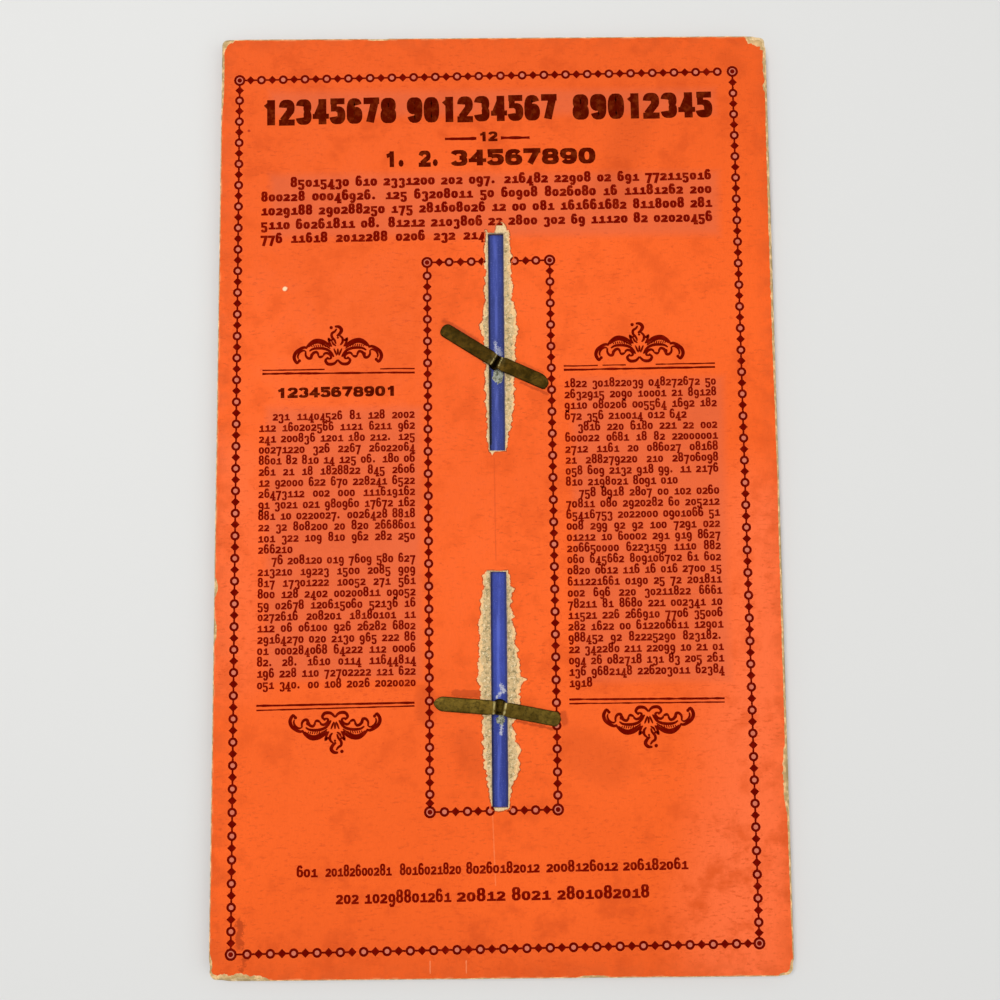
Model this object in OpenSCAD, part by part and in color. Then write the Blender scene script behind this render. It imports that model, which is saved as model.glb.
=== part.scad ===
// Perpetual desk calendar: two pasteboard cards held face to face by two brass
// split pins, lying on its face. +X runs across the card, +Y to its head and +Z
// out of the back of the bottom card. The origin is under the middle of the
// bottom card, at the level of the pin heads that it lies on.

/* [Bottom card] */
// Width of the bottom card
card_w = 141.1; // [120:0.1:170]
// Height of the bottom card
card_h = 236; // [222:0.1:280]
// Radius of the bottom card's worn corners
card_corner = 1.6; // [0.5:0.1:4]
// Thickness of the bottom card's pulp board
bottom_board_t = 1.1; // [0.8:0.05:1.6]
// Thickness of the paper pasted on both cards
paper_t = 0.12; // [0.08:0.01:0.2]
// Clearance between the two cards
card_gap = 0.08; // [0.05:0.01:0.2]

/* [Slots] */
// How far the top card slides, end to end
travel = 52; // [40:0.1:56]
// Length of the lower slot beyond what the travel needs
lower_slot_spare = 1.6; // [0:0.1:4]
// Height of the upper slot's top end above the card's centre
upper_slot_top = 65.9; // [60:0.1:70]
// Depth of the lower slot's top end below the card's centre
lower_slot_drop = 20.3; // [16:0.1:26]
// Clearance between a pin's neck and each side of its slot
slot_clear = 0.04; // [0.02:0.01:0.3]
// Extra width worn off the back paper along both sides of the slots
paper_wear = 0; // [-0.3:0.05:0.5]

/* [Top card] */
// Width of the bottom card's border left bare beside the top card
side_reveal = 3.5; // [2:0.1:8]
// Border left bare at the head and foot when the top card is at its limits
end_reveal = 1.2; // [0.5:0.1:4]
// Thickness of the top card's pulp board
top_board_t = 0.9; // [0.6:0.05:1.4]
// Radius of the top card's corners
top_corner = 1.2; // [0.5:0.1:3]
// How far the top card can still rise from where it is set
set_back = 31.4; // [10:0.1:40]

/* [Windows] */
// Distance between the printed rows that the windows step along
row_pitch = 7.8; // [7:0.1:8]
// Part of a row that stays covered
row_land = 2.2; // [1.5:0.1:3]
// Height of the weekday windows' centre line above the top card's centre
day_row = 62; // [56:0.5:66]
// Width of a weekday window
day_window_w = 9.5; // [8:0.1:10.5]
// Distance between the weekday columns
col_pitch = 13; // [12:0.1:13.2]
// Distance between the two columns beside the pins
gutter = 17; // [16:0.1:18]
// Width of a century window in the margins
century_window_w = 8; // [6:0.1:9]
// Distance from the top card's side edge to the middle of a century window
century_inset = 7.5; // [6:0.1:8]
// Space left between one century column of rows and the next
century_gap = 1.4; // [0.6:0.1:2]

/* [Brass pins] */
// Thickness of the brass strip
strip_t = 0.35; // [0.25:0.01:0.45]
// Width of the two legs where they pass through the cards
neck_w = 3.2; // [2.6:0.05:3.6]
// Extra width on each side of a prong beyond its neck
prong_shoulder = 0.2; // [0.1:0.05:0.5]
// Clear space between the legs of the upper pin
upper_leg_gap = 0.9; // [0.5:0.05:1.4]
// Clear space between the legs of the lower pin
lower_leg_gap = 1.4; // [0.5:0.05:1.8]
// Inner radius of the upper pin's bends
upper_bend = 0.35; // [0.25:0.05:0.8]
// Inner radius of the lower pin's bends
lower_bend = 0.65; // [0.25:0.05:0.9]
// Height of the prong tips above the back paper
tip_gap = 0.12; // [0.05:0.01:0.2]
// Reach of the upper pin's left prong from the middle of the pin
upper_left_reach = 16.3; // [10:0.1:18]
// Reach of the upper pin's right prong from the middle of the pin
upper_right_reach = 14.2; // [10:0.1:18]
// Reach of the lower pin's left prong from the middle of the pin
lower_left_reach = 16.2; // [10:0.1:18]
// Reach of the lower pin's right prong from the middle of the pin
lower_right_reach = 15.3; // [10:0.1:18]
// Angle of the upper pin's left prong from square across the slot
upper_left_angle = -32.4; // [-45:0.1:45]
// Angle of the upper pin's right prong
upper_right_angle = -24.2; // [-45:0.1:45]
// Angle of the lower pin's left prong
lower_left_angle = -4.6; // [-45:0.1:45]
// Angle of the lower pin's right prong
lower_right_angle = -11.4; // [-45:0.1:45]

/* [Pin heads] */
// Diameter of a pin's domed cap
cap_d = 8.6; // [7.6:0.1:10]
// Rise of the dome
cap_rise = 0.7; // [0.4:0.05:1]
// Height of the cap's straight skirt
cap_skirt = 0.95; // [0.9:0.05:1.4]
// Thickness of the cap's sheet brass
cap_t = 0.28; // [0.2:0.01:0.32]
// Inside diameter of the lip that holds the pin's foot in the cap
lip_d = 4.8; // [4.4:0.1:5.4]
// Length of the folded foot inside the cap
foot_l = 6.4; // [6:0.1:6.8]
// Clearance between the foot and the lip above it
foot_clear = 0.06; // [0.03:0.01:0.12]
// Clearance between a cap and the top card's face
head_gap = 0.05; // [0.03:0.01:0.12]
// Clearance round a pin's neck in the top card's hole
hole_clear = 0.14; // [0.05:0.01:0.3]

/* [Hidden] */
$fn = 64;

// The board and paper layers stacked from the pin heads up to the back paper
cap_h = cap_rise + cap_skirt;
top_front_z = cap_h + head_gap;
top_board_z = top_front_z + paper_t;
top_back_z = top_board_z + top_board_t;
bottom_front_z = top_back_z + paper_t + card_gap;
bottom_board_z = bottom_front_z + paper_t;
bottom_back_z = bottom_board_z + bottom_board_t;
back_face_z = bottom_back_z + paper_t;

// A slot lets the wider pair of legs turn freely, so its width follows their corners
neck_r = norm([max(upper_leg_gap, lower_leg_gap) / 2 + strip_t, neck_w / 2]);
slot_w = 2 * (neck_r + slot_clear);
hole_r = neck_r + hole_clear;
upper_slot_l = travel + 2 * neck_r;
lower_slot_l = upper_slot_l + lower_slot_spare;
upper_slot_y = upper_slot_top - upper_slot_l / 2;
lower_slot_y = -lower_slot_drop - lower_slot_l / 2;

// Each pin stands set_back below the top stop of its slot
upper_pin_y = upper_slot_top - neck_r - set_back;
lower_pin_y = -lower_slot_drop - neck_r - set_back;

// The top card is centred on the bottom one when it is at mid-travel
top_w = card_w - 2 * side_reveal;
top_h = card_h - travel - 2 * end_reveal;
top_y = travel / 2 - set_back;

window_h = row_pitch - row_land;
day_cols = 7;
cols_before_gutter = 4;
slide_steps = 7;
century_rows = 3;
century_step = slide_steps * row_pitch + century_gap;
century_x = top_w / 2 - century_inset;

// Pieces of the back paper worn away round the slots, from the slot's top end down:
// share of the slot's length, bare width left of the slot, bare width right of it
UPPER_WEAR = [[-0.015, 0.1, 0.2], [0.02, 0.5, 0.9], [0.12, 0.5, 1.5], [0.30, 0.6, 1.8],
    [0.36, 1.2, 2.4], [0.42, 1.9, 3.2], [0.50, 0.9, 3.5], [0.60, 0.8, 3.2],
    [0.72, 0.7, 2.2], [0.88, 0.6, 2.0], [0.94, 0.4, 0.7], [1.015, 0.2, 0.1]];
LOWER_WEAR = [[-0.01, 0.8, 0.4], [0.08, 2.0, 1.7], [0.25, 2.4, 1.8], [0.36, 2.6, 3.0],
    [0.45, 2.9, 4.4], [0.53, 2.2, 3.2], [0.66, 2.3, 1.9], [0.76, 2.1, 3.0],
    [0.85, 1.6, 2.2], [0.93, 0.7, 1.0], [1.01, 0.1, 0.2]];

// Thin overlap that leaves no skin where a cut ends on a face
cut = 0.5;

function column_x(i) = i < cols_before_gutter
    ? gutter / 2 + (cols_before_gutter - 1 - i) * col_pitch
    : -gutter / 2 - (i - cols_before_gutter) * col_pitch;

// Outline of a strip of thickness t whose middle follows the points p
function heading(p, i) = let (a = p[max(i - 1, 0)], b = p[min(i + 1, len(p) - 1)])
    (b - a) / norm(b - a);
function strip_side(p, t, s) = [for (i = [0 : len(p) - 1])
    let (d = heading(p, i)) p[i] + s * t / 2 * [-d[1], d[0]]];
function reversed(p) = [for (i = [len(p) - 1 : -1 : 0]) p[i]];
function strip_outline(p, t) = concat(strip_side(p, t, 1), reversed(strip_side(p, t, -1)));

// A flat plate with round corners, z0 to z0 + t
module plate(w, h, r, z0, t) {
    translate([0, 0, z0]) linear_extrude(t) {
        square([w - 2 * r, h], center = true);
        square([w, h - 2 * r], center = true);
        for (x = [-1, 1], y = [-1, 1])
            translate([x * (w / 2 - r), y * (h / 2 - r)]) circle(r);
    }
}

module slot_cuts(z0, t) {
    for (s = [[upper_slot_y, upper_slot_l], [lower_slot_y, lower_slot_l]])
        translate([0, s[0], z0 + t / 2])
            cube([slot_w, s[1], t + 2 * cut], center = true);
}

module worn_patch(wear, middle, length) {
    top = middle + length / 2;
    left = [for (w = wear) [-slot_w / 2 - w[1] - paper_wear, top - w[0] * length]];
    right = [for (w = wear) [slot_w / 2 + w[2] + paper_wear, top - w[0] * length]];
    polygon(concat(left, reversed(right)));
}

module bottom_card_board() {
    color([0.90, 0.82, 0.62]) difference() {
        plate(card_w, card_h, card_corner, bottom_board_z, bottom_board_t);
        slot_cuts(bottom_board_z, bottom_board_t);
    }
}

module bottom_card_back_paper() {
    color([0.98, 0.40, 0.16]) difference() {
        plate(card_w, card_h, card_corner, bottom_back_z, paper_t);
        translate([0, 0, bottom_back_z - cut]) linear_extrude(paper_t + 2 * cut) {
            worn_patch(UPPER_WEAR, upper_slot_y, upper_slot_l);
            worn_patch(LOWER_WEAR, lower_slot_y, lower_slot_l);
        }
    }
}

module bottom_card_front_paper() {
    color([0.98, 0.40, 0.16]) difference() {
        plate(card_w, card_h, card_corner, bottom_front_z, paper_t);
        slot_cuts(bottom_front_z, paper_t);
    }
}

// One layer of the top card with its windows and pin holes
module top_layer(z0, t) {
    difference() {
        translate([0, top_y, 0]) plate(top_w, top_h, top_corner, z0, t);
        for (i = [0 : day_cols - 1])
            translate([column_x(i), top_y + day_row, z0 + t / 2])
                cube([day_window_w, window_h, t + 2 * cut], center = true);
        for (x = [-century_x, century_x], k = [0 : century_rows - 1])
            translate([x, top_y + (k - (century_rows - 1) / 2) * century_step, z0 + t / 2])
                cube([century_window_w, window_h, t + 2 * cut], center = true);
        for (y = [upper_pin_y, lower_pin_y])
            translate([0, y, z0 - cut]) cylinder(r = hole_r, h = t + 2 * cut);
    }
}

module top_card_board() {
    color([0.90, 0.82, 0.62]) top_layer(top_board_z, top_board_t);
}

module top_card_back_paper() {
    color([0.27, 0.32, 0.66]) top_layer(top_back_z, paper_t);
}

module top_card_front_paper() {
    color([0.27, 0.32, 0.66]) top_layer(top_front_z, paper_t);
}

// Domed sheet cap with a straight skirt and a lip turned in over the pin's foot
module pin_cap(y) {
    r = cap_d / 2;
    dome_r = (r * r + cap_rise * cap_rise) / (2 * cap_rise);
    inner_r = dome_r - cap_t;
    half = asin(r / dome_r);
    inner_half = asin((r - cap_t) / inner_r);
    bands = 12;
    outer = [for (i = [0 : bands]) let (a = half * i / bands)
        [dome_r * sin(a), dome_r - dome_r * cos(a)]];
    inner = [for (i = [bands : -1 : 0]) let (a = inner_half * i / bands)
        [inner_r * sin(a), dome_r - inner_r * cos(a)]];
    color([0.42, 0.35, 0.14]) translate([0, y, 0]) rotate_extrude()
        polygon(concat(outer, [[r, cap_h], [lip_d / 2, cap_h], [lip_d / 2, cap_h - cap_t],
            [r - cap_t, cap_h - cap_t]], inner));
}

// One leg of a pin: up from the foot, over the bend and out to the tip, towards +X
module pin_leg(leg_gap, bend, reach) {
    leg_x = leg_gap / 2 + strip_t / 2;
    foot_z = cap_h - cap_t - foot_clear - strip_t / 2;
    middle_r = bend + strip_t / 2;
    bend_x = leg_x + middle_r;
    slope = -asin((bend - tip_gap) / (reach - bend_x));
    steps = 8;
    arc = [for (i = [0 : steps]) let (a = 180 - (90 - slope) * i / steps)
        [bend_x + middle_r * cos(a), back_face_z + middle_r * sin(a)]];
    tip = arc[steps] + [reach + strip_t - arc[steps][0], 0] + [0, (reach - bend_x) * sin(slope)];
    prong_w = neck_w + 2 * prong_shoulder;
    shoulder_x = bend_x + prong_shoulder;
    intersection() {
        rotate([90, 0, 0]) translate([0, 0, -prong_w])
            linear_extrude(2 * prong_w)
                polygon(strip_outline(concat([[leg_x, foot_z]], arc, [tip]), strip_t));
        linear_extrude(2 * back_face_z) {
            translate([0, -neck_w / 2]) square([shoulder_x, neck_w]);
            translate([shoulder_x, -prong_w / 2])
                square([reach - shoulder_x - prong_w / 2, prong_w]);
            translate([reach - prong_w / 2, 0]) circle(prong_w / 2);
        }
    }
}

// Both legs of a pin, joined by the folded foot inside the cap
module pin_legs(y, leg_gap, bend, left, right) {
    foot_angle = (left[1] + right[1]) / 2;
    color([0.36, 0.32, 0.11]) translate([0, y, 0]) {
        rotate([0, 0, left[1]]) mirror([1, 0, 0]) pin_leg(leg_gap, bend, left[0]);
        rotate([0, 0, right[1]]) pin_leg(leg_gap, bend, right[0]);
        rotate([0, 0, foot_angle])
            translate([0, 0, cap_h - cap_t - foot_clear - strip_t / 2])
                cube([foot_l, neck_w, strip_t], center = true);
    }
}

module upper_pin_cap() pin_cap(upper_pin_y);

module lower_pin_cap() pin_cap(lower_pin_y);

module upper_pin_legs()
    pin_legs(upper_pin_y, upper_leg_gap, upper_bend,
        [upper_left_reach, upper_left_angle], [upper_right_reach, upper_right_angle]);

module lower_pin_legs()
    pin_legs(lower_pin_y, lower_leg_gap, lower_bend,
        [lower_left_reach, lower_left_angle], [lower_right_reach, lower_right_angle]);

bottom_card_board();
bottom_card_back_paper();
bottom_card_front_paper();
top_card_board();
top_card_back_paper();
top_card_front_paper();
upper_pin_cap();
upper_pin_legs();
lower_pin_cap();
lower_pin_legs();
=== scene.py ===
import math
import random

import bmesh
import bpy
from mathutils import Matrix, Vector, noise
from mathutils.geometry import delaunay_2d_cdt


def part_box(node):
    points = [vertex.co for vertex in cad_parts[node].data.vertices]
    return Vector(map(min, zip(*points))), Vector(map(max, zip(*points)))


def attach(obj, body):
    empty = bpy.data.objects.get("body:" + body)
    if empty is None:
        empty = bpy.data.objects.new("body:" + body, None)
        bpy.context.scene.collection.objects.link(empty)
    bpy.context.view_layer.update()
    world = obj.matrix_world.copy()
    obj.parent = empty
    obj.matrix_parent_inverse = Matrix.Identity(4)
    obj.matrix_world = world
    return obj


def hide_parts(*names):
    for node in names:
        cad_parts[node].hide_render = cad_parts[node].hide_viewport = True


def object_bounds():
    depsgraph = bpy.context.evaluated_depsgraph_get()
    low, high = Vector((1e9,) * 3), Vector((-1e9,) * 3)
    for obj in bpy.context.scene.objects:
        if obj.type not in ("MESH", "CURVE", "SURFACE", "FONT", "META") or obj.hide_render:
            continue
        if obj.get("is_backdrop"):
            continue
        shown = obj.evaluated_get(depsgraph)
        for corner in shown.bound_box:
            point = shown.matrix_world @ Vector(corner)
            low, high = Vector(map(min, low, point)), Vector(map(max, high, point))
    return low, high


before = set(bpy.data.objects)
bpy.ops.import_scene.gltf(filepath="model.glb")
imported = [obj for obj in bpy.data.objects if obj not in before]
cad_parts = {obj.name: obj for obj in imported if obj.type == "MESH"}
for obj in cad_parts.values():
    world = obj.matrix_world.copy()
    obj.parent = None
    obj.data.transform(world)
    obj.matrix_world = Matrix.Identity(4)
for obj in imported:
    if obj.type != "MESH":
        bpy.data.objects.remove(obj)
cad_low, cad_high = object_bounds()
MM = 0.001

# ---------------------------------------------------------------- camera, floor and light
# A plain pale floor under a soft key lamp from the upper left, a weaker one from the right
# and an even white surround. The camera looks down on the calendar's back.
BACK_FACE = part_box("bottom_card_back_paper")[1].z / MM
# The camera stands at EYE, in mm from the middle of the card's back, turned by TILT degrees
EYE = (-0.1, -22.7, 248.8)
TILT = (4.661, -0.111, -0.481)
SENSOR = 36
FOCAL_LENGTH = 36
WHITE = (1, 1, 1, 1)
SURROUND_LIGHT = 0.38
FLOOR_HALF = 3


def paint(red, green, blue):
    """A colour on the 0 to 255 display scale, as a linear shader colour"""
    def linear(level):
        share = level / 255
        return share / 12.92 if share <= 0.04045 else ((share + 0.055) / 1.055) ** 2.4
    return (linear(red), linear(green), linear(blue), 1.0)


def put(tree, kind, inputs=(), **settings):
    """Adds one node. A socket in inputs is linked to it, and anything else is set as a value"""
    node = tree.nodes.new(kind)
    for name, value in settings.items():
        setattr(node, name, value)
    for name, value in dict(inputs).items():
        if isinstance(value, bpy.types.NodeSocket):
            tree.links.new(value, node.inputs[name])
        else:
            node.inputs[name].default_value = value
    return node


def maths(tree, operation, a, b=0.0):
    return put(tree, "ShaderNodeMath", {0: a, 1: b}, operation=operation).outputs[0]


def vectors(tree, operation, a, b, output="Vector"):
    return put(tree, "ShaderNodeVectorMath", {0: a, 1: b}, operation=operation).outputs[output]


def ease(tree, value, low, high, to_low=0.0, to_high=1.0):
    """Follows value smoothly from to_low at low to to_high at high"""
    return put(tree, "ShaderNodeMapRange", {
        "Value": value, "From Min": low, "From Max": high, "To Min": to_low, "To Max": to_high},
        interpolation_type="SMOOTHSTEP").outputs[0]


def show(obj):
    bpy.context.scene.collection.objects.link(obj)
    return obj


camera = show(bpy.data.objects.new("camera", bpy.data.cameras.new("camera")))
camera.data.sensor_width = SENSOR
camera.data.lens = FOCAL_LENGTH
camera.data.clip_start = 0.01
camera.location = Vector((EYE[0], EYE[1], EYE[2] + BACK_FACE)) * MM
camera.rotation_euler = [math.radians(angle) for angle in TILT]
bpy.context.scene.camera = camera

for name, spot, size, power in (
        ("key_lamp", (-0.24, 0.18, 0.90), 0.32, 5.3),
        ("fill_lamp", (0.60, -0.20, 0.75), 0.80, 2.0)):
    lamp = show(bpy.data.objects.new(name, bpy.data.lights.new(name, "AREA")))
    lamp.data.size = size
    lamp.data.energy = power
    lamp.location = spot
    lamp.rotation_euler = (-Vector(spot)).to_track_quat("-Z", "Y").to_euler()

world = bpy.data.worlds.new("surround")
bpy.context.scene.world = world
world.use_nodes = True
tree = world.node_tree
tree.nodes.clear()
# Seen or mirrored it is white, but it lights the calendar less than that
seen = put(tree, "ShaderNodeLightPath").outputs
mirrored = maths(tree, "MAXIMUM", seen["Is Camera Ray"], seen["Is Glossy Ray"])
seen_at_all = maths(tree, "MAXIMUM", mirrored, seen["Is Transmission Ray"])
strength = put(tree, "ShaderNodeMapRange", {
    "Value": seen_at_all, "To Min": SURROUND_LIGHT, "To Max": 1.0}).outputs[0]
surround = put(tree, "ShaderNodeBackground", {"Color": WHITE, "Strength": strength}).outputs[0]
put(tree, "ShaderNodeOutputWorld", {"Surface": surround})
bpy.context.scene.view_settings.view_transform = "Standard"

floor_mesh = bpy.data.meshes.new("floor")
floor_mesh.from_pydata([(-FLOOR_HALF, -FLOOR_HALF, 0), (FLOOR_HALF, -FLOOR_HALF, 0),
                        (FLOOR_HALF, FLOOR_HALF, 0), (-FLOOR_HALF, FLOOR_HALF, 0)], [], [(0, 1, 2, 3)])
floor = show(bpy.data.objects.new("floor", floor_mesh))
floor_paint = bpy.data.materials.new("pale_floor")
floor_paint.use_nodes = True
tree = floor_paint.node_tree
tree.nodes.clear()
# Far off, where the lamps don't reach, the camera sees the floor run out into the white surround
floor_place = put(tree, "ShaderNodeTexCoord").outputs["Object"]
far_off = ease(tree, vectors(tree, "LENGTH", floor_place, (0, 0, 0), "Value"), 0.25, 1.0)
run_out = maths(tree, "MULTIPLY", far_off, put(tree, "ShaderNodeLightPath").outputs["Is Camera Ray"])
painted = put(tree, "ShaderNodeBsdfPrincipled", {"Base Color": paint(222, 222, 220), "Roughness": 0.85})
white = put(tree, "ShaderNodeEmission", {"Color": WHITE, "Strength": 1.0})
blended = put(tree, "ShaderNodeMixShader", {0: run_out, 1: painted.outputs[0], 2: white.outputs[0]})
put(tree, "ShaderNodeOutputMaterial", {"Surface": blended.outputs[0]})
floor.data.materials.append(floor_paint)
floor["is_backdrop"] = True

# ---------------------------------------------------------------- bottom card: pulp board
# Machine-made pasteboard of grey and straw pulp, cut to size and punched with two slots.
# Its corners are rubbed round and frayed, and beside the slots the pins' prongs have
# worn the paper off it, so that the pulp shows.
card_low, card_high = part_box("bottom_card_board")
CARD_W = (card_high.x - card_low.x) / MM
CARD_H = (card_high.y - card_low.y) / MM
CARD_CORNER = 1.6
BOARD_LOW = card_low.z / MM
BOARD_TOP = card_high.z / MM
SLOT_HALF = 1.954
# Slots and tears stay this near the card's middle line
SLOT_ZONE = 8
# The board is rounded off over this much of its edge, and bare this far out from its slots
RUBBED_RIM = 1.2
BARE_REACH = 5
# Each slot: its top end and length, then how far out the paper has been torn off on its left and
# on its right, as (height, distance from the middle) from the top down
SLOTS = (
    (65.9, 55.83,
     ((66.5, 2.5), (64.4, 2.75), (55.4, 2.8), (47.4, 3.0), (44.4, 3.3), (41.9, 4.1), (38.4, 3.4),
      (30.4, 3.0), (20.4, 2.75), (12.4, 2.45), (9.7, 2.1)),
     ((66.8, 3.0), (64.4, 3.75), (55.4, 3.9), (50.4, 3.95), (46.4, 4.6), (43.4, 5.3), (40.4, 5.3),
      (36.4, 4.6), (27.4, 4.3), (20.4, 4.3), (17.4, 3.9), (13.4, 2.9), (11.9, 2.4), (9.8, 2.1))),
    (-20.3, 57.43,
     ((-19.9, 3.0), (-21.1, 3.6), (-25.6, 4.2), (-33.6, 4.8), (-42.6, 5.0), (-45.4, 5.1), (-46.6, 5.6),
      (-48.0, 4.9), (-55.6, 4.3), (-61.6, 4.2), (-69.6, 3.5), (-74.6, 2.6), (-77.9, 2.05)),
     ((-19.9, 2.1), (-21.6, 2.9), (-23.6, 3.2), (-24.6, 4.1), (-25.8, 3.3), (-29.6, 3.3), (-35.6, 3.9),
      (-38.2, 4.0), (-39.6, 4.9), (-41.2, 4.5), (-44.1, 5.5), (-46.0, 5.4), (-46.8, 7.1), (-47.9, 5.3),
      (-49.6, 5.1), (-52.6, 4.8), (-57.6, 3.4), (-61.6, 4.0), (-64.6, 4.9), (-67.1, 4.7), (-69.6, 4.2),
      (-72.6, 2.9), (-77.9, 2.05))))
# Edges are worn towards a core this far inside the card, further in than any bite
CORE_INSET = 8
# Damage along the card's edge: where, how far it reaches and how deep it bites
BOARD_BITES = ((70.2, 117.7, 3.0, 0.5), (-69.8, -117.3, 4.5, 0.45), (70.2, -117.7, 3.5, 0.7))


def rough(x, y, size, seed, octaves=4):
    """Perlin noise about zero, with features of about size mm"""
    return noise.fractal(Vector((x / size, y / size, seed)), 0.8, 2.0, octaves)


def card_outline(step, inset=0.0):
    """Points about every step mm round the card, which has round corners, anticlockwise"""
    reach_x = CARD_W / 2 - inset - CARD_CORNER
    reach_y = CARD_H / 2 - inset - CARD_CORNER
    marks = []
    for turn, (x, y) in enumerate(((1, 1), (-1, 1), (-1, -1), (1, -1))):
        for i in range(5):
            angle = math.radians(90 * turn + 22.5 * i)
            marks.append(Vector((x * reach_x + CARD_CORNER * math.cos(angle),
                                 y * reach_y + CARD_CORNER * math.sin(angle))))
    outline = []
    for here, there in zip(marks, marks[1:] + marks[:1]):
        count = max(1, round((there - here).length / step))
        outline += [here.lerp(there, i / count) for i in range(count)]
    return outline


def worn_edge(outline, inset, raggedness, size, seed, bites):
    """An outline taken in by inset mm, made ragged, and bitten where it is damaged"""
    reach_x = CARD_W / 2 - CORE_INSET
    reach_y = CARD_H / 2 - CORE_INSET
    worn = []
    for point in outline:
        core = Vector((max(-reach_x, min(point.x, reach_x)), max(-reach_y, min(point.y, reach_y))))
        depth = inset + raggedness * rough(point.x, point.y, size, seed)
        for x, y, reach, bite in bites:
            away = math.hypot(point.x - x, point.y - y) / reach
            if away < 1:
                depth += bite * (1 - away ** 3) * (1 + 0.36 * rough(point.x, point.y, 1.1, seed + 5))
        worn.append(point + (core - point).normalized() * max(depth, 0.02))
    return worn


def torn_reach(edge, y):
    """How far from the middle a slot's paper is torn off at height y, along one side"""
    for above, below in zip(edge, edge[1:]):
        if y >= below[0]:
            part = (above[0] - y) / (above[0] - below[0])
            return above[1] + (below[1] - above[1]) * max(part, 0)
    return edge[-1][1]


def slot_outline(slot, step):
    """A slot's own cut edge, anticlockwise from its top left corner"""
    top, length = slot[:2]
    count = round(length / step)
    ys = [top - length * i / count for i in range(count + 1)]
    left = [Vector((-SLOT_HALF, y)) for y in ys]
    right = [Vector((SLOT_HALF, y)) for y in reversed(ys)]
    return left + right


def inside(point, loop):
    """Whether a point lies within a closed outline"""
    odd = False
    for a, b in zip(loop, loop[1:] + loop[:1]):
        if (a.y > point.y) != (b.y > point.y):
            odd ^= point.x < a.x + (point.y - a.y) / (b.y - a.y) * (b.x - a.x)
    return odd


def build(name, mesh, crease=None):
    """Turns a bmesh into an object: flat-faced, or smooth but for edges sharper than crease degrees"""
    bmesh.ops.recalc_face_normals(mesh, faces=mesh.faces)
    for face in mesh.faces:
        face.smooth = crease is not None
    data = bpy.data.meshes.new(name)
    mesh.to_mesh(data)
    mesh.free()
    if crease is not None:
        data.set_sharp_from_angle(angle=math.radians(crease))
    return bpy.data.objects.new(name, data)


def slab(name, loops, inner, low, high):
    """A closed flat sheet. The first loop is its outline and the others are holes; inner are points
    between them; low is its lower face's height, and high(x, y, on_edge) gives its upper face's"""
    points = []
    edges = []
    for loop in loops:
        first = len(points)
        points += loop
        edges += [(first + i, first + (i + 1) % len(loop)) for i in range(len(loop))]
    rim = len(points)
    verts, _, triangles, sources, _, _ = delaunay_2d_cdt(points + inner, edges, [], 1, 1e-5)
    faces = []
    for triangle in triangles:
        middle = sum((verts[i] for i in triangle), Vector((0, 0))) / len(triangle)
        if abs(middle.x) > SLOT_ZONE or not any(inside(middle, hole) for hole in loops[1:]):
            faces.append(triangle)
    used = sorted({i for face in faces for i in face})
    mesh = bmesh.new()
    top = {}
    bottom = {}
    for i in used:
        x, y = verts[i]
        on_edge = any(s < rim for s in sources[i])
        top[i] = mesh.verts.new((x * MM, y * MM, high(x, y, on_edge) * MM))
        bottom[i] = mesh.verts.new((x * MM, y * MM, low * MM))
    for face in faces:
        mesh.faces.new([top[i] for i in face])
        mesh.faces.new([bottom[i] for i in reversed(face)])
    sides = [side for face in faces for side in zip(face, face[1:] + face[:1])]
    shared = set(sides)
    for a, b in sides:
        if (b, a) not in shared:
            mesh.faces.new([top[b], top[a], bottom[a], bottom[b]])
    return show(build(name, mesh, 40))


def across_card(step):
    """A loose grid of points over the card, clear of its edges"""
    columns = int(CARD_W / step)
    rows = int(CARD_H / step)
    return [Vector(((i - columns / 2) * step, (j - rows / 2) * step))
            for i in range(1, columns) for j in range(1, rows)]


def beside_slots(step, reach):
    """A close grid of points over the bare strips, and reach mm beyond them"""
    spots = []
    for top, length, left, right in SLOTS:
        for j in range(int(length * 1.03 / step)):
            y = top + 0.01 * length - j * step
            for edge, sign in ((left, -1), (right, 1)):
                for i in range(int((torn_reach(edge, y) - SLOT_HALF + reach) / step)):
                    spots.append(Vector((sign * (SLOT_HALF + 0.12 + (i + 0.5 * (j % 2)) * step), y)))
    return spots


def near_slot(x, y):
    """How far (x, y) is from the nearer slot's cut edge"""
    across = max(abs(x) - SLOT_HALF, 0)
    return min(math.hypot(across, max(y - top, top - length - y, 0)) for top, length, _, _ in SLOTS)


def pulp_height(x, y, on_edge):
    """The board's back face: flat under the paper, torn and hairy where it is bare"""
    from_edge = min(CARD_W / 2 - abs(x), CARD_H / 2 - abs(y))
    if from_edge < RUBBED_RIM:
        return BOARD_TOP - 0.22 * (1 - from_edge / RUBBED_RIM) ** 2 - (0.06 if on_edge else 0.0)
    gap = near_slot(x, y)
    if gap > BARE_REACH:
        return BOARD_TOP - 0.005
    hairs = 0.10 * rough(x, y, 0.9, 3) + 0.06 * rough(x, y, 0.35, 8, 2)
    return BOARD_TOP - 0.03 - 0.24 * math.exp(-gap / 0.28) + min(hairs, 0.02 + 0.03 * gap)


board_edge = worn_edge(card_outline(0.8), 0.06, 0.05, 2.2, 1, BOARD_BITES)
board_slots = [[Vector((p.x + 0.05 * rough(p.x, p.y, 0.9, 14), p.y)) for p in slot_outline(slot, 0.5)]
               for slot in SLOTS]
edge_shoulder = worn_edge(card_outline(1.5, RUBBED_RIM / 2), 0.3, 0.1, 2.2, 1, BOARD_BITES)
pulp = slab("bottom_card_pulp", [board_edge] + board_slots,
            across_card(6) + beside_slots(0.36, 0.7) + edge_shoulder, BOARD_LOW, pulp_height)


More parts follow.
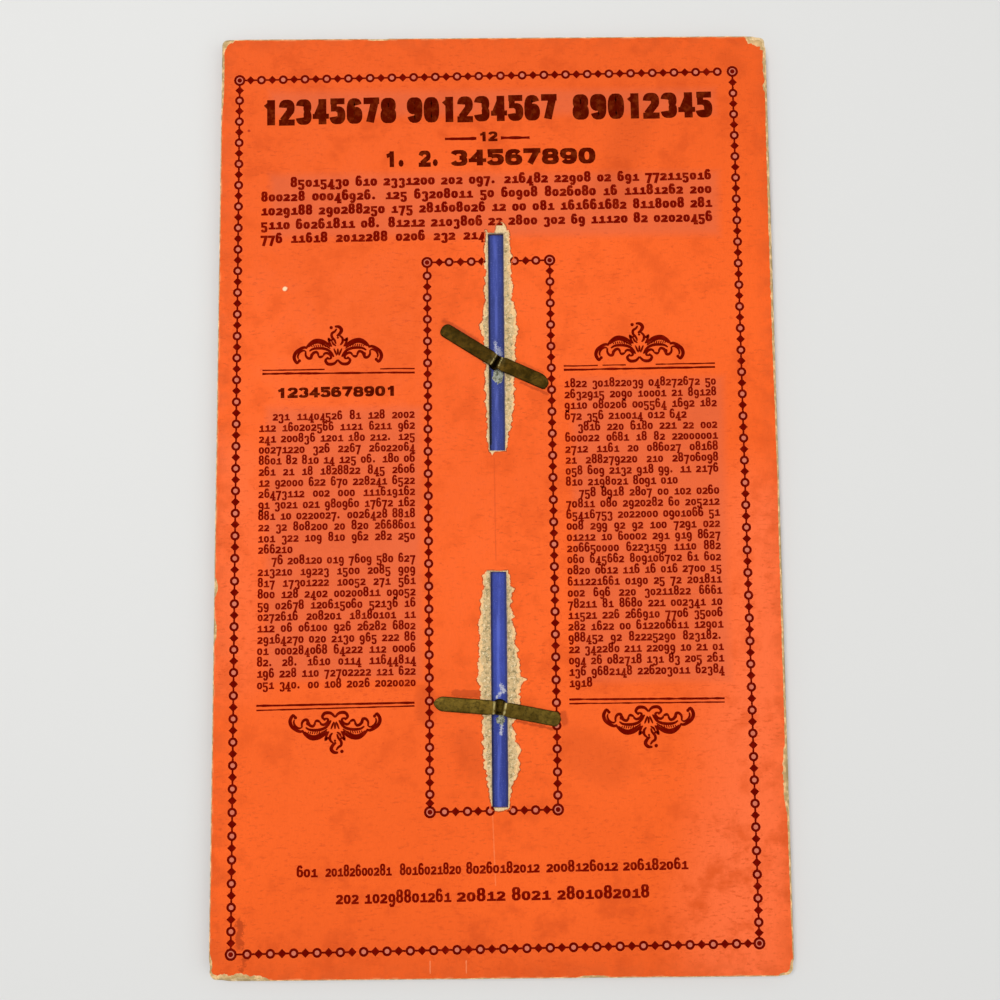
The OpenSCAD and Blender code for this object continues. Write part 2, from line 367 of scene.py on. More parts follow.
def cloud(tree, place, per_mm, detail=3.0, roughness=0.55):
    return put(tree, "ShaderNodeTexNoise", {
        "Vector": place, "Scale": per_mm, "Detail": detail, "Roughness": roughness}).outputs[0]


def tint(tree, amount, under, over):
    """The colour under, changed towards over by amount"""
    return put(tree, "ShaderNodeMix", {0: amount, 6: under, 7: over}, data_type="RGBA").outputs[2]


def mottle(tree, place, colour, over, per_mm, low, high, strength, detail=3.0, roughness=0.7):
    """The colour, patched with the colour over where a noise rises from low to high"""
    patches = ease(tree, cloud(tree, place, per_mm, detail, roughness), low, high, 0.0, strength)
    return tint(tree, patches, colour, over)


def start_finish(name, roughness, specular, metallic=0.0):
    """A new material, its node tree, its shader and the piece's own coordinates in mm"""
    material = bpy.data.materials.new(name)
    material.use_nodes = True
    tree = material.node_tree
    tree.nodes.clear()
    shader = put(tree, "ShaderNodeBsdfPrincipled", {
        "Roughness": roughness, "Specular IOR Level": specular, "Metallic": metallic})
    put(tree, "ShaderNodeOutputMaterial", {"Surface": shader.outputs[0]})
    metres = put(tree, "ShaderNodeTexCoord").outputs["Object"]
    place = put(tree, "ShaderNodeVectorMath", {0: metres, "Scale": 1 / MM}, operation="SCALE").outputs[0]
    return material, tree, shader, place


def start_group(kind, name, inputs, outputs):
    """A node group with those named sockets: its tree, its input sockets and its output node"""
    tree = bpy.data.node_groups.new(name, kind)
    for direction, sockets in (("INPUT", inputs), ("OUTPUT", outputs)):
        for socket, kind in sockets:
            tree.interface.new_socket(socket, in_out=direction, socket_type="NodeSocket" + kind)
    return tree, tree.nodes.new("NodeGroupInput").outputs, tree.nodes.new("NodeGroupOutput")


def use(tree, group, inputs):
    """Places a shader node group in a material with its own values"""
    return put(tree, "ShaderNodeGroup", inputs, node_tree=group).outputs


def coat(tree, shader, colour, height, relief):
    """Gives a shader its colour, and a surface raised by relief mm where height is 1"""
    bump = put(tree, "ShaderNodeBump", {"Height": height, "Distance": relief * MM, "Strength": 1.0})
    tree.links.new(colour, shader.inputs["Base Color"])
    tree.links.new(bump.outputs[0], shader.inputs["Normal"])


# Felted fibres: short stretched flecks over a finer tooth
fibres, given, result = start_group(
    "ShaderNodeTree", "felted_fibres",
    [("Vector", "Vector"), ("Fleck", "Float")], [("Shade", "Float"), ("Height", "Float")])
long_way = put(fibres, "ShaderNodeMapping", {
    "Vector": given["Vector"], "Rotation": (0, 0, 0.7), "Scale": (1.0, 0.32, 1.0)}).outputs[0]
cross_way = put(fibres, "ShaderNodeMapping", {
    "Vector": given["Vector"], "Rotation": (0, 0, -0.9), "Scale": (1.0, 0.32, 1.0)}).outputs[0]
per_fleck = maths(fibres, "DIVIDE", 1.0, given["Fleck"])
strands = maths(fibres, "MAXIMUM", cloud(fibres, long_way, per_fleck, 2.0),
                cloud(fibres, cross_way, per_fleck, 2.0))
tooth = cloud(fibres, given["Vector"], maths(fibres, "MULTIPLY", per_fleck, 2.6), 3.0, 0.7)
both = maths(fibres, "ADD", maths(fibres, "MULTIPLY", strands, 0.6), maths(fibres, "MULTIPLY", tooth, 0.4))
fibres.links.new(ease(fibres, both, 0.3, 0.75), result.inputs["Shade"])
fibres.links.new(both, result.inputs["Height"])

# How far inside the nearest edge of a rectangle a point is
card_rim, given, result = start_group(
    "ShaderNodeTree", "distance_from_card_edge",
    [("Vector", "Vector"), ("Half Width", "Float"), ("Half Height", "Float")], [("Distance", "Float")])
along = put(card_rim, "ShaderNodeSeparateXYZ", {0: given["Vector"]}).outputs
from_side = maths(card_rim, "SUBTRACT", given["Half Width"], maths(card_rim, "ABSOLUTE", along["X"]))
from_end = maths(card_rim, "SUBTRACT", given["Half Height"], maths(card_rim, "ABSOLUTE", along["Y"]))
card_rim.links.new(maths(card_rim, "MINIMUM", from_side, from_end), result.inputs["Distance"])


def from_rim(tree, place, half_w=CARD_W / 2, half_h=CARD_H / 2):
    return use(tree, card_rim, {"Vector": place, "Half Width": half_w, "Half Height": half_h})["Distance"]


pulp_finish, tree, shader, place = start_finish("bare_pulp", 0.9, 0.1)
fibre = use(tree, fibres, {"Vector": place, "Fleck": 0.45})
straw = tint(tree, fibre["Shade"], paint(224, 188, 138), paint(252, 222, 172))
deep = put(tree, "ShaderNodeAttribute", attribute_name="worn_in").outputs["Fac"]
straw = tint(tree, maths(tree, "MULTIPLY", deep, 0.5), straw, paint(190, 158, 104))
lumps = ease(tree, cloud(tree, place, 1.1, 4.0, 0.75), 0.48, 0.62, 0.0, 0.75)
greyed = tint(tree, maths(tree, "MULTIPLY", lumps, ease(tree, deep, 0.1, 0.9, 0.1, 1.0)), straw,
              paint(116, 106, 66))
greyed = mottle(tree, place, greyed, paint(252, 230, 186), 1.5, 0.52, 0.66, 0.85, 3.0, 0.75)
# Painted shade: down the slot walls the bare board is painted darker
painted_wall_shade = ease(tree, put(tree, "ShaderNodeSeparateXYZ", {0: place}).outputs["Z"],
                     BOARD_TOP - 0.10, BOARD_TOP - 0.30)
greyed = tint(tree, maths(tree, "MULTIPLY", painted_wall_shade, deep), greyed, paint(150, 134, 124))
dirt = maths(tree, "MULTIPLY", ease(tree, cloud(tree, place, 0.35, 4.0), 0.36, 0.60),
             ease(tree, from_rim(tree, place), 1.6, 0.2, 0.0, 0.85))
coat(tree, shader, tint(tree, dirt, greyed, paint(150, 128, 84)), fibre["Height"], 0.35)
# The bare strips beside the slots are worn fully in from this far inside the torn paper
WORN_IN = 1.1


def worn_in(x, y):
    """How deep in a bare strip a point lies: 0 at the torn paper, 1 where it is worn fully in"""
    for top, length, left, right in SLOTS:
        if top - length - 0.5 < y < top + 0.5:
            return min(max((torn_reach(left if x < 0 else right, y) - abs(x)) / WORN_IN, 0.0), 1.0)
    return 0.0


depths = [worn_in(v.co.x / MM, v.co.y / MM) for v in pulp.data.vertices]
pulp.data.attributes.new("worn_in", "FLOAT", "POINT").data.foreach_set("value", depths)
pulp.data.materials.append(pulp_finish)
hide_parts("bottom_card_board")
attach(pulp, "bottom_card")

# ---------------------------------------------------------------- bottom card: back paper
# Orange-coated paper pasted over the board. Under its colour lies a pale core, which shows
# as a torn fringe round the worn strips and at the corners. The paper is rubbed off
# along the card's edges, and handling has soiled it.
PLY = (BACK_FACE - BOARD_TOP) / 2
CORE_TOP = BOARD_TOP + PLY
PAPER_BITES = ((68.9, 117.8, 3.6, 2.4), (-70.4, -116.0, 4.4, 0.75), (-66.0, -118.0, 5.0, 1.4),
               (-60.0, -118.0, 4.2, 1.0), (70.5, -71.1, 8.5, 0.7), (70.3, 104.2, 1.3, 0.6),
               (-70.5, -23.6, 2.4, 0.6), (-70.5, -34.1, 3.0, 0.5), (-70.5, 118.0, 3.2, 1.0),
               (-70.5, 109.0, 11.0, 0.45), (70.5, 112.0, 6.0, 0.5),
               (70.3, -117.5, 3.6, 1.0), (-30.0, 118.0, 3.0, 0.35), (22.0, -118.0, 4.0, 0.4),
               (70.5, 62.0, 58.0, 0.45), (70.5, -50.0, 68.0, 0.35))
# Tears beyond each slot's ends, left to right at its top and right to left at its foot: where across
# the slot, and how far past its end
CROWNS = (((-2.9, 0.3), (-2.7, 0.9), (-2.3, 0.9), (-2.0, 0.2), (-0.4, 0.15), (-0.05, 0.9), (0.1, 1.8),
           (0.5, 2.5), (1.0, 2.85), (1.4, 2.9), (1.9, 2.75), (2.4, 2.2), (2.75, 1.4), (2.85, 0.7)),
          ((-2.6, 0.35), (-1.4, 0.35), (0.0, 0.25), (1.4, 0.35), (2.0, 0.3)))
TOES = (((2.1, 0.1), (1.0, 0.25), (-0.6, 0.3), (-1.1, 0.9), (-1.3, 1.3), (-1.6, 0.7), (-1.9, 0.3)),
        ((1.9, 0.2), (0.9, 0.55), (-0.4, 0.75), (-1.4, 0.6), (-1.9, 0.3)))
TEAR_STEP = 0.22


def torn_hole(slot, crown, toe, keep, raggedness, size, seed):
    """The edge of the paper torn away round a slot, anticlockwise; keep is the share of the bare width"""
    top, length, left, right = slot
    sides = []
    for edge, sign in ((left, -1), (right, 1)):
        side = []
        count = round((edge[0][0] - edge[-1][0]) / TEAR_STEP)
        for i in range(count + 1):
            y = edge[0][0] + (edge[-1][0] - edge[0][0]) * i / count
            bare = torn_reach(edge, y) - SLOT_HALF
            scallop = rough(sign * 30, y, size, seed) + 0.5 * rough(sign * 50, y, size / 3, seed)
            width = max(keep * bare + raggedness * min(0.35 + 0.5 * bare, 1.0) * scallop, 0.05)
            side.append(Vector((sign * (SLOT_HALF + width), y)))
        sides.append(side)
    over = [Vector((x, top + keep * beyond)) for x, beyond in reversed(crown)]
    under = [Vector((x, top - length - keep * beyond)) for x, beyond in reversed(toe)]
    return over + sides[0] + under + sides[1][::-1]


def torn_holes(keep, raggedness, size, seed):
    return [torn_hole(*slot_and_ends, keep, raggedness, size, seed)
            for slot_and_ends in zip(SLOTS, CROWNS, TOES)]


def beside(outline, holes, inset, outset):
    """Points that lie inset mm inside an outline and outset mm outside its holes"""
    spots = []
    for loop, gap in [(outline, -inset)] + [(hole, outset) for hole in holes]:
        for i, point in enumerate(loop):
            along = (loop[(i + 1) % len(loop)] - loop[i - 1]).normalized()
            spots.append(point + Vector((along.y, -along.x)) * gap)
    return spots


def lifted(level, lift, seed):
    """A face at that level whose torn edges stand up by as much as lift"""
    def height(x, y, on_edge):
        inner = abs(x) < CARD_W / 2 - 2 and abs(y) < CARD_H / 2 - 2
        if on_edge and inner:
            return level + lift * max(0.0, 0.5 + rough(x, y, 0.9, seed))
        return level - (0.02 if on_edge else 0.0)
    return height


core_edge = worn_edge(card_outline(0.6), 0.12, 0.04, 3.0, 21,
                      [(x, y, reach, bite * 0.5) for x, y, reach, bite in PAPER_BITES])
core_holes = torn_holes(0.76, 0.62, 1.7, 31)
core_ply = slab("back_paper_core", [core_edge] + core_holes,
                across_card(8) + beside(core_edge, core_holes, 0.5, 0.4), BOARD_TOP,
                lifted(CORE_TOP, 0.05, 33))
orange_edge = worn_edge(card_outline(0.5), 0.36, 0.06, 5.0, 43, PAPER_BITES)
orange_holes = torn_holes(1.0, 0.66, 1.9, 41)
orange_ply = slab("back_paper_face", [orange_edge] + orange_holes,
                  across_card(8) + beside(orange_edge, orange_holes, 0.6, 0.55), CORE_TOP,
                  lifted(BACK_FACE, 0.12, 47))

core_finish, tree, shader, place = start_finish("torn_paper_core", 0.85, 0.1)
fibre = use(tree, fibres, {"Vector": place, "Fleck": 0.30})
cream = tint(tree, fibre["Shade"], paint(238, 188, 130), paint(255, 218, 160))
cream = mottle(tree, place, cream, paint(200, 156, 104), 1.5, 0.52, 0.66, 0.7)
dirt = maths(tree, "MULTIPLY", ease(tree, cloud(tree, place, 0.5, 4.0), 0.34, 0.58),
             ease(tree, from_rim(tree, place), 3.4, 0.4, 0.0, 0.85))
coat(tree, shader, tint(tree, dirt, cream, paint(170, 142, 92)), fibre["Height"], 0.2)
core_ply.data.materials.append(core_finish)

# A soft-edged mark along a short line, as a stain, scratch or scuff leaves
soft_mark, given, result = start_group(
    "ShaderNodeTree", "soft_mark",
    [("Vector", "Vector"), ("Wander", "Float"), ("Start", "Vector"), ("End", "Vector"),
     ("Radius", "Float"), ("Softness", "Float"), ("Raggedness", "Float")],
    [("Mask", "Float")])
flat = vectors(soft_mark, "MULTIPLY", given["Vector"], (1, 1, 0))
offset = vectors(soft_mark, "SUBTRACT", flat, given["Start"])
span = vectors(soft_mark, "SUBTRACT", given["End"], given["Start"])
reached = vectors(soft_mark, "DOT_PRODUCT", offset, span, "Value")
whole = vectors(soft_mark, "DOT_PRODUCT", span, span, "Value")
part = put(soft_mark, "ShaderNodeMath", {0: reached, 1: whole}, operation="DIVIDE", use_clamp=True).outputs[0]
nearest = put(soft_mark, "ShaderNodeVectorMath", {0: span, "Scale": part}, operation="SCALE").outputs[0]
away = vectors(soft_mark, "DISTANCE", offset, nearest, "Value")
drifted = maths(soft_mark, "MULTIPLY", maths(soft_mark, "SUBTRACT", given["Wander"], 0.5),
                given["Raggedness"])
away = maths(soft_mark, "ADD", away, drifted)
outer = maths(soft_mark, "ADD", given["Radius"], given["Softness"])
soft_mark.links.new(ease(soft_mark, away, outer, given["Radius"]), result.inputs["Mask"])


def stain(tree, place, wander, colour, over, start, end, radius, softness, strength, raggedness):
    """The colour with one soft mark of the colour over on it, its edge following the noise wander"""
    mask = use(tree, soft_mark, {
        "Vector": place, "Wander": wander, "Start": start + (0,), "End": end + (0,), "Radius": radius,
        "Softness": softness, "Raggedness": raggedness})["Mask"]
    return tint(tree, maths(tree, "MULTIPLY", mask, strength), colour, over)


# Marks as start, end, radius, softness and strength. The prongs left ghosts of tarnish where they have lain,
# and painted shadow lies in thin lines along their edges
PRONG_TARNISH_AND_SHADOWS = (
    ((-13.2, 43.2), (-5.0, 38.3), 0.2, 0.7, 0.60), ((6.0, 27.3), (12.8, 24.2), 0.1, 0.4, 0.60),
    ((4.4, 33.0), (11.5, 29.8), 0.05, 0.5, 0.40), ((-10.8, -50.0), (-2.6, -50.3), 0.7, 0.4, 0.55),
    ((-18.3, -50.3), (-18.3, -55.0), 1.3, 2.0, 0.30), ((4.3, -56.9), (13.7, -58.9), 0.08, 0.4, 0.65),
    ((15.7, -55.2), (16.1, -57.2), 0.5, 0.7, 0.55))
SMUDGES = (
    ((-63.0, -104.4), (-63.2, -109.9), 0.5, 0.8, 0.70), ((-62.0, -112.7), (-62.1, -115.2), 0.3, 0.7, 0.65),
    ((-6.0, -67.6), (-8.5, -61.6), 1.5, 3.5, 0.22), ((18.0, -63.6), (27.0, -67.6), 3.0, 5.0, 0.20),
    ((30.0, 76.4), (36.0, 96.4), 2.0, 6.0, 0.20), ((60.0, 111.9), (63.0, 108.9), 1.0, 3.0, 0.22))

orange_finish, tree, shader, place = start_finish("orange_paper", 0.5, 0.1)
fibre = use(tree, fibres, {"Vector": place, "Fleck": 0.40})
drift = cloud(tree, place, 0.018, 2.0)
colour = tint(tree, ease(tree, drift, 0.35, 0.65), paint(245, 97, 30), paint(251, 101, 33))
up_the_card = put(tree, "ShaderNodeSeparateXYZ", {0: place}).outputs["Y"]
# Painted shade: the paper is painted darker towards the head and foot
colour = tint(tree, ease(tree, up_the_card, 62.0, 116.0, 0.0, 0.8), colour, paint(234, 92, 30))
colour = tint(tree, ease(tree, up_the_card, -98.0, -117.0, 0.0, 0.8), colour, paint(234, 92, 31))
# Painted light down the right side and on the middle of the left side, and painted shade over the upper left
for over, start, end, radius, softness, strength in (
        (paint(255, 115, 64), (68.0, -10.0), (60.0, -112.0), 3.0, 20.0, 0.8),
        (paint(255, 115, 62), (-67.0, 6.0), (-67.0, -42.0), 2.0, 12.0, 0.5),
        (paint(238, 94, 28), (-62.0, 84.0), (-34.0, 46.0), 10.0, 24.0, 0.6)):
    colour = stain(tree, place, drift, colour, over, start, end, radius, softness, strength, 24.0)
blotches = cloud(tree, place, 0.13, 4.0, 0.62)
near_an_end = ease(tree, maths(tree, "ABSOLUTE", up_the_card), 60.0, 100.0, 0.50, 0.85)
colour = tint(tree, maths(tree, "MULTIPLY", ease(tree, blotches, 0.48, 0.70), near_an_end), colour,
              paint(222, 84, 26))
lain = put(tree, "ShaderNodeMapping", {"Vector": place, "Scale": (0.35, 1.0, 1.0)}).outputs[0]
flecked = maths(tree, "MULTIPLY", ease(tree, cloud(tree, lain, 1.7, 3.0, 0.65), 0.53, 0.72),
                ease(tree, cloud(tree, place, 0.06, 3.0), 0.36, 0.60, 0.25, 0.75))
colour = tint(tree, flecked, colour, paint(214, 78, 24))
specks = cloud(tree, place, 0.75, 3.0, 0.7)
colour = tint(tree, ease(tree, specks, 0.61, 0.75, 0.0, 0.5), colour, paint(208, 72, 20))
colour = tint(tree, ease(tree, fibre["Shade"], 0.0, 1.0, 0.12, 0.0), colour, paint(196, 66, 16))
# A thin haze of ink lies round each block of type: its middle, half width and half height
for x, y, half_w, half_h in ((-0.2, 73.4, 58.0, 9.0), (-38.4, -12.6, 20.0, 34.5), (38.0, -9.6, 19.7, 38.5),
                             (-0.5, 100.4, 58.0, 4.0)):
    within = from_rim(tree, vectors(tree, "SUBTRACT", place, (x, y, 0)), half_w, half_h)
    colour = tint(tree, ease(tree, within, -1.0, 2.5, 0.0, 0.6), colour, paint(220, 100, 60))
# Tarnish ghosts with painted shadow along the prongs, then smudges, all in one dark orange
for marks, raggedness in ((PRONG_TARNISH_AND_SHADOWS, 1.2), (SMUDGES, 4.0)):
    for start, end, radius, softness, strength in marks:
        colour = stain(tree, place, specks, colour, paint(172, 58, 14), start, end, radius, softness,
                       strength, raggedness)
rim = from_rim(tree, place)
soil = maths(tree, "MULTIPLY", ease(tree, cloud(tree, place, 0.22, 4.0), 0.36, 0.62),
             ease(tree, rim, 5.5, 0.4, 0.0, 0.50))
colour = tint(tree, soil, colour, paint(210, 84, 32))
rubbed = maths(tree, "MULTIPLY", ease(tree, cloud(tree, place, 0.3, 4.0), 0.48, 0.64),
               ease(tree, rim, 0.9, 0.35, 0.0, 0.5))
colour = tint(tree, rubbed, colour, paint(248, 158, 104))
# Painted shade along the torn edges of the paper
torn = ease(tree, put(tree, "ShaderNodeAttribute", attribute_name="tear_shade").outputs["Fac"], 0.35, 0.95)
colour = tint(tree, maths(tree, "MULTIPLY", torn, ease(tree, specks, 0.36, 0.56, 0.1, 0.9)), colour,
              paint(150, 62, 24))
for over, start, end, radius, softness, strength in (
        (paint(255, 226, 180), (-53.6, 51.8), (-53.5, 51.8), 0.35, 0.35, 0.9),
        (paint(196, 70, 20), (-53.15, 51.3), (-52.9, 51.7), 0.1, 0.3, 0.6),
        (paint(160, 20, 16), (-63.3, 93.4), (-63.2, 93.4), 0.15, 0.3, 0.8),
        (paint(255, 150, 96), (-1.9, -78.9), (-1.3, -96.0), 0.0, 0.25, 0.35),
        (paint(255, 160, 110), (-17.2, -113.6), (-17.2, -116.4), 0.0, 0.25, 0.5),
        (paint(255, 160, 110), (-8.5, -113.6), (-8.5, -116.4), 0.0, 0.25, 0.5),
        (paint(210, 76, 24), (-0.8, 8.1), (-0.6, -17.4), 0.04, 0.25, 0.5)):
    colour = stain(tree, place, specks, colour, over, start, end, radius, softness, strength, 0.4)
tree.links.new(ease(tree, blotches, 0.3, 0.7, 0.46, 0.60), shader.inputs["Roughness"])
coat(tree, shader, colour, fibre["Height"], 0.10)
# The coloured face is painted darker along the very edge of each tear: painted shade beside the lifted torn
# edge
tears = {(round(spot.x, 2), round(spot.y, 2)) for hole in orange_holes for spot in hole}
tear_edge_shade = [float((round(v.co.x / MM, 2), round(v.co.y / MM, 2)) in tears) for v in orange_ply.data.vertices]
orange_ply.data.attributes.new("tear_shade", "FLOAT", "POINT").data.foreach_set("value", tear_edge_shade)
orange_ply.data.materials.append(orange_finish)
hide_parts("bottom_card_back_paper")
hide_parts("bottom_card_back_paper")
for ply in (orange_ply, core_ply):
    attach(ply, "bottom_card")

# ---------------------------------------------------------------- bottom card: printed border
# A chain of rings and diamonds with a bullseye in each corner, printed from repeated type
# units in one dark ink: a frame round the whole page and a smaller one round the slots.
# The ink stands a little above the paper, and filled-in rings leave their middles pink.
RING, DIAMOND, BULLSEYE, BAR = 0, 1, 2, 3
INK_THICKNESS = 0.03
PRINT_Z = BACK_FACE + 0.01
# How the page was set down on the card: moved, and a little askew
PAGE_SHIFT = (-1.79, -1.64)
PRINT_SLOPE = 0.0118
PRINT_SLANT = 0.0027


def on_back(p, q):
    """The card's own x and y of a place on the printed page"""
    return Vector((p - PRINT_SLANT * q + PAGE_SHIFT[0], q + PRINT_SLOPE * p + PAGE_SHIFT[1]))


def torn_away(point):
    return abs(point.x) < SLOT_ZONE and any(inside(point, hole) for hole in orange_holes)


def ring_node(tree, diameter, stroke, depth):
    radius = maths(tree, "DIVIDE", maths(tree, "SUBTRACT", diameter, stroke), 2.0)
    path = put(tree, "GeometryNodeCurvePrimitiveCircle", {"Resolution": 14, "Radius": radius}).outputs[0]
    section = put(tree, "GeometryNodeCurvePrimitiveQuadrilateral", {
        "Width": stroke, "Height": depth}).outputs[0]
    return put(tree, "GeometryNodeCurveToMesh", {"Curve": path, "Profile Curve": section}).outputs[0]


def plug_node(tree, sides, diameter, depth):
    return put(tree, "GeometryNodeMeshCylinder", {
        "Vertices": sides, "Radius": maths(tree, "DIVIDE", diameter, 2.0), "Depth": depth}).outputs["Mesh"]


def named(tree, name, kind):
    return put(tree, "GeometryNodeInputNamedAttribute", {"Name": name}, data_type=kind).outputs[0]


border_chain, given, result = start_group(
    "GeometryNodeTree", "border_chain",
    [("Geometry", "Geometry"), ("Ring Diameter", "Float"), ("Ring Stroke", "Float"),
     ("Diamond Size", "Float"), ("Corner Diameter", "Float"), ("Line Width", "Float"),
     ("Ink Thickness", "Float"), ("Film", "Material"), ("Ink", "Material")], [("Geometry", "Geometry")])
depth = given["Ink Thickness"]
film_depth = maths(border_chain, "MULTIPLY", depth, 0.6)
bullseye = put(border_chain, "GeometryNodeJoinGeometry")
corner_ring = ring_node(border_chain, given["Corner Diameter"], given["Ring Stroke"], depth)
dot_diameter = maths(border_chain, "MULTIPLY", given["Corner Diameter"], 0.42)
corner_dot = plug_node(border_chain, 10, dot_diameter, depth)
for shape in (corner_ring, corner_dot):
    border_chain.links.new(shape, bullseye.inputs[0])
bar = put(border_chain, "GeometryNodeMeshCube").outputs["Mesh"]
plain = put(border_chain, "ShaderNodeCombineXYZ", {"X": 1.0, "Y": 1.0, "Z": 1.0}).outputs[0]
stretched = put(border_chain, "ShaderNodeCombineXYZ", {
    "X": named(border_chain, "reach", "FLOAT"), "Y": given["Line Width"],
    "Z": maths(border_chain, "MULTIPLY", depth, 0.7)}).outputs[0]
turned = put(border_chain, "ShaderNodeCombineXYZ", {"Z": named(border_chain, "turn", "FLOAT")}).outputs[0]
kind_of_point = named(border_chain, "ornament", "INT")
layers = {"Ink": put(border_chain, "GeometryNodeJoinGeometry"),
          "Film": put(border_chain, "GeometryNodeJoinGeometry")}
for layer, code, shape, scale in (
        ("Ink", RING, ring_node(border_chain, given["Ring Diameter"], given["Ring Stroke"], depth), plain),
        ("Ink", DIAMOND, plug_node(border_chain, 4, given["Diamond Size"], depth), plain),
        ("Ink", BULLSEYE, bullseye.outputs[0], plain),
        ("Ink", BAR, bar, stretched),
        ("Film", RING, plug_node(border_chain, 10, given["Ring Diameter"], film_depth), plain),
        ("Film", BULLSEYE, plug_node(border_chain, 10, given["Corner Diameter"], film_depth), plain)):
    chosen = put(border_chain, "FunctionNodeCompare", {2: kind_of_point, 3: code}, data_type="INT",
                 operation="EQUAL").outputs[0]
    placed = put(border_chain, "GeometryNodeInstanceOnPoints", {
        "Points": given["Geometry"], "Selection": chosen, "Instance": shape, "Rotation": turned,
        "Scale": scale}).outputs[0]
    border_chain.links.new(placed, layers[layer].inputs[0])
printed = put(border_chain, "GeometryNodeJoinGeometry")
for layer, placed in layers.items():
    solid = put(border_chain, "GeometryNodeRealizeInstances", {"Geometry": placed.outputs[0]}).outputs[0]
    finished = put(border_chain, "GeometryNodeSetMaterial", {"Geometry": solid, "Material": given[layer]})
    border_chain.links.new(finished.outputs[0], printed.inputs[0])
border_chain.links.new(printed.outputs[0], result.inputs[0])


def grow(name, spots, values, tree, inputs):
    """Runs a geometry node tree on loose points in mm and keeps what it makes as a plain mesh"""
    base = bpy.data.meshes.new(name + "_points")
    base.from_pydata([tuple(c * MM for c in spot) for spot in spots], [], [])
    for key, column in values.items():
        kind = "INT" if isinstance(column[0], int) else "FLOAT"
        base.attributes.new(key, kind, "POINT").data.foreach_set("value", column)
    maker = show(bpy.data.objects.new(name + "_maker", base))
    modifier = maker.modifiers.new("maker", "NODES")
    modifier.node_group = tree
    for item in tree.interface.items_tree:
        if item.in_out == "INPUT" and item.name in inputs:
            modifier[item.identifier] = inputs[item.name]
    graph = bpy.context.evaluated_depsgraph_get()
    data = bpy.data.meshes.new_from_object(maker.evaluated_get(graph), depsgraph=graph)
    bpy.data.objects.remove(maker)
    data.name = name
    return show(bpy.data.objects.new(name, data))


def chain_side(chain, start, end, rings, first, last, diamonds):
    """Rings and diamonds by turns from corner to corner. first and last are the end gaps in units,
    and diamonds says whether each end gap holds a diamond"""
    length = (end - start).length
    unit = length / (rings - 1 + first + last)
    marks = [(first + i, RING) for i in range(rings)] + [(first + i + 0.5, DIAMOND) for i in range(rings - 1)]
    if diamonds[0]:
        marks.append((first / 2, DIAMOND))
    if diamonds[1]:
        marks.append((rings - 1 + first + last / 2, DIAMOND))
    chain_run(chain, [(start, BULLSEYE)] + [
        (start.lerp(end, at * unit / length), kind) for at, kind in sorted(marks)] + [(end, BULLSEYE)])


# How far from each ornament's middle the bars beside it begin
BAR_START = {RING: 0.85, DIAMOND: 0.70, BULLSEYE: 1.15}
# Where a bar between two ornaments did not print
GAPS = (Vector((59.4, 108.3)), Vector((-34.5, -111.3)))


def chain_run(chain, marks):
    """Puts ornaments on the chain in order, with a bar between each two next to each other"""
    for (here, kind), (there, next_kind) in zip(marks, marks[1:]):
        along = (there - here).normalized()
        begin = here + along * BAR_START[kind]
        finish = there - along * BAR_START[next_kind]
        middle = begin.lerp(finish, 0.5)
        if not torn_away(middle) and all((middle - gap).length > 0.9 for gap in GAPS):
            chain.append((middle, BAR, (finish - begin).length, math.atan2(along.y, along.x)))
    chain.extend((spot, kind, 0.0, PRINT_SLOPE) for spot, kind in marks[:-1] if not torn_away(spot))


def chain_round(corners, sides):
    """A chain along four sides, clockwise; sides gives each one's rings, end gaps and their diamonds"""
    chain = []
    for side, layout in enumerate(sides):
        chain_side(chain, corners[side], corners[(side + 1) % 4], *layout)
    return chain


def chain_across(chain, start, end, places):
    """Diamonds and rings by turns from corner to corner, each at its own x"""
    marks = [(start.lerp(end, (x - start.x) / (end.x - start.x)), (DIAMOND, RING)[i % 2])
             for i, x in enumerate(places)]
    chain_run(chain, [(start, BULLSEYE)] + marks + [(end, BULLSEYE)])


def print_chain(name, chain, z, body, ink, film):
    spots, kinds, reaches, turns = zip(*chain)
    piece = grow(name, [(spot.x, spot.y, z) for spot in spots],
                 {"ornament": kinds, "reach": [reach * MM for reach in reaches], "turn": turns}, border_chain,
                 {"Ring Diameter": 2.34 * MM, "Ring Stroke": 0.60 * MM, "Diamond Size": 2.22 * MM,
                  "Corner Diameter": 2.95 * MM, "Line Width": 0.45 * MM, "Ink Thickness": INK_THICKNESS * MM,
                  "Ink": ink, "Film": film})
    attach(piece, body)


def make_ink(name, dark, thin):
    """Matt letterpress ink, patchy and speckled where the paper took it badly"""
    material, tree, shader, place = start_finish(name, 0.7, 0.0)
    colour = mottle(tree, place, dark, thin, 0.5, 0.45, 0.72, 0.75, 4.0)
    colour = mottle(tree, place, colour, thin, 2.4, 0.60, 0.72, 0.8)
    coat(tree, shader, colour, cloud(tree, place, 4.0), 0.02)
    return material


text_ink = make_ink("text_ink", paint(116, 8, 0), paint(152, 36, 8))
border_ink = make_ink("border_ink", paint(104, 8, 0), paint(132, 20, 5))
title_ink = make_ink("title_ink", paint(84, 11, 0), paint(124, 44, 12))
pink_film = make_ink("pink_film", paint(214, 118, 92), paint(204, 96, 66))

# The corners of a page as shares of its half width and height, clockwise from its top left
PAGE_CORNERS = ((-1, 1), (1, 1), (1, -1), (-1, -1))
page_corners = [on_back(63.67 * x, 109.24 * y) for x, y in PAGE_CORNERS]
page_chain = chain_round(page_corners, ((22, 1.00, 0.69, (True, False)), (38, 1.04, 0.88, (True, True)),
                                        (22, 0.98, 0.70, (True, False)), (38, 0.96, 0.96, (True, True))))
print_chain("page_border", page_chain, PRINT_Z, "bottom_card", border_ink, pink_film)

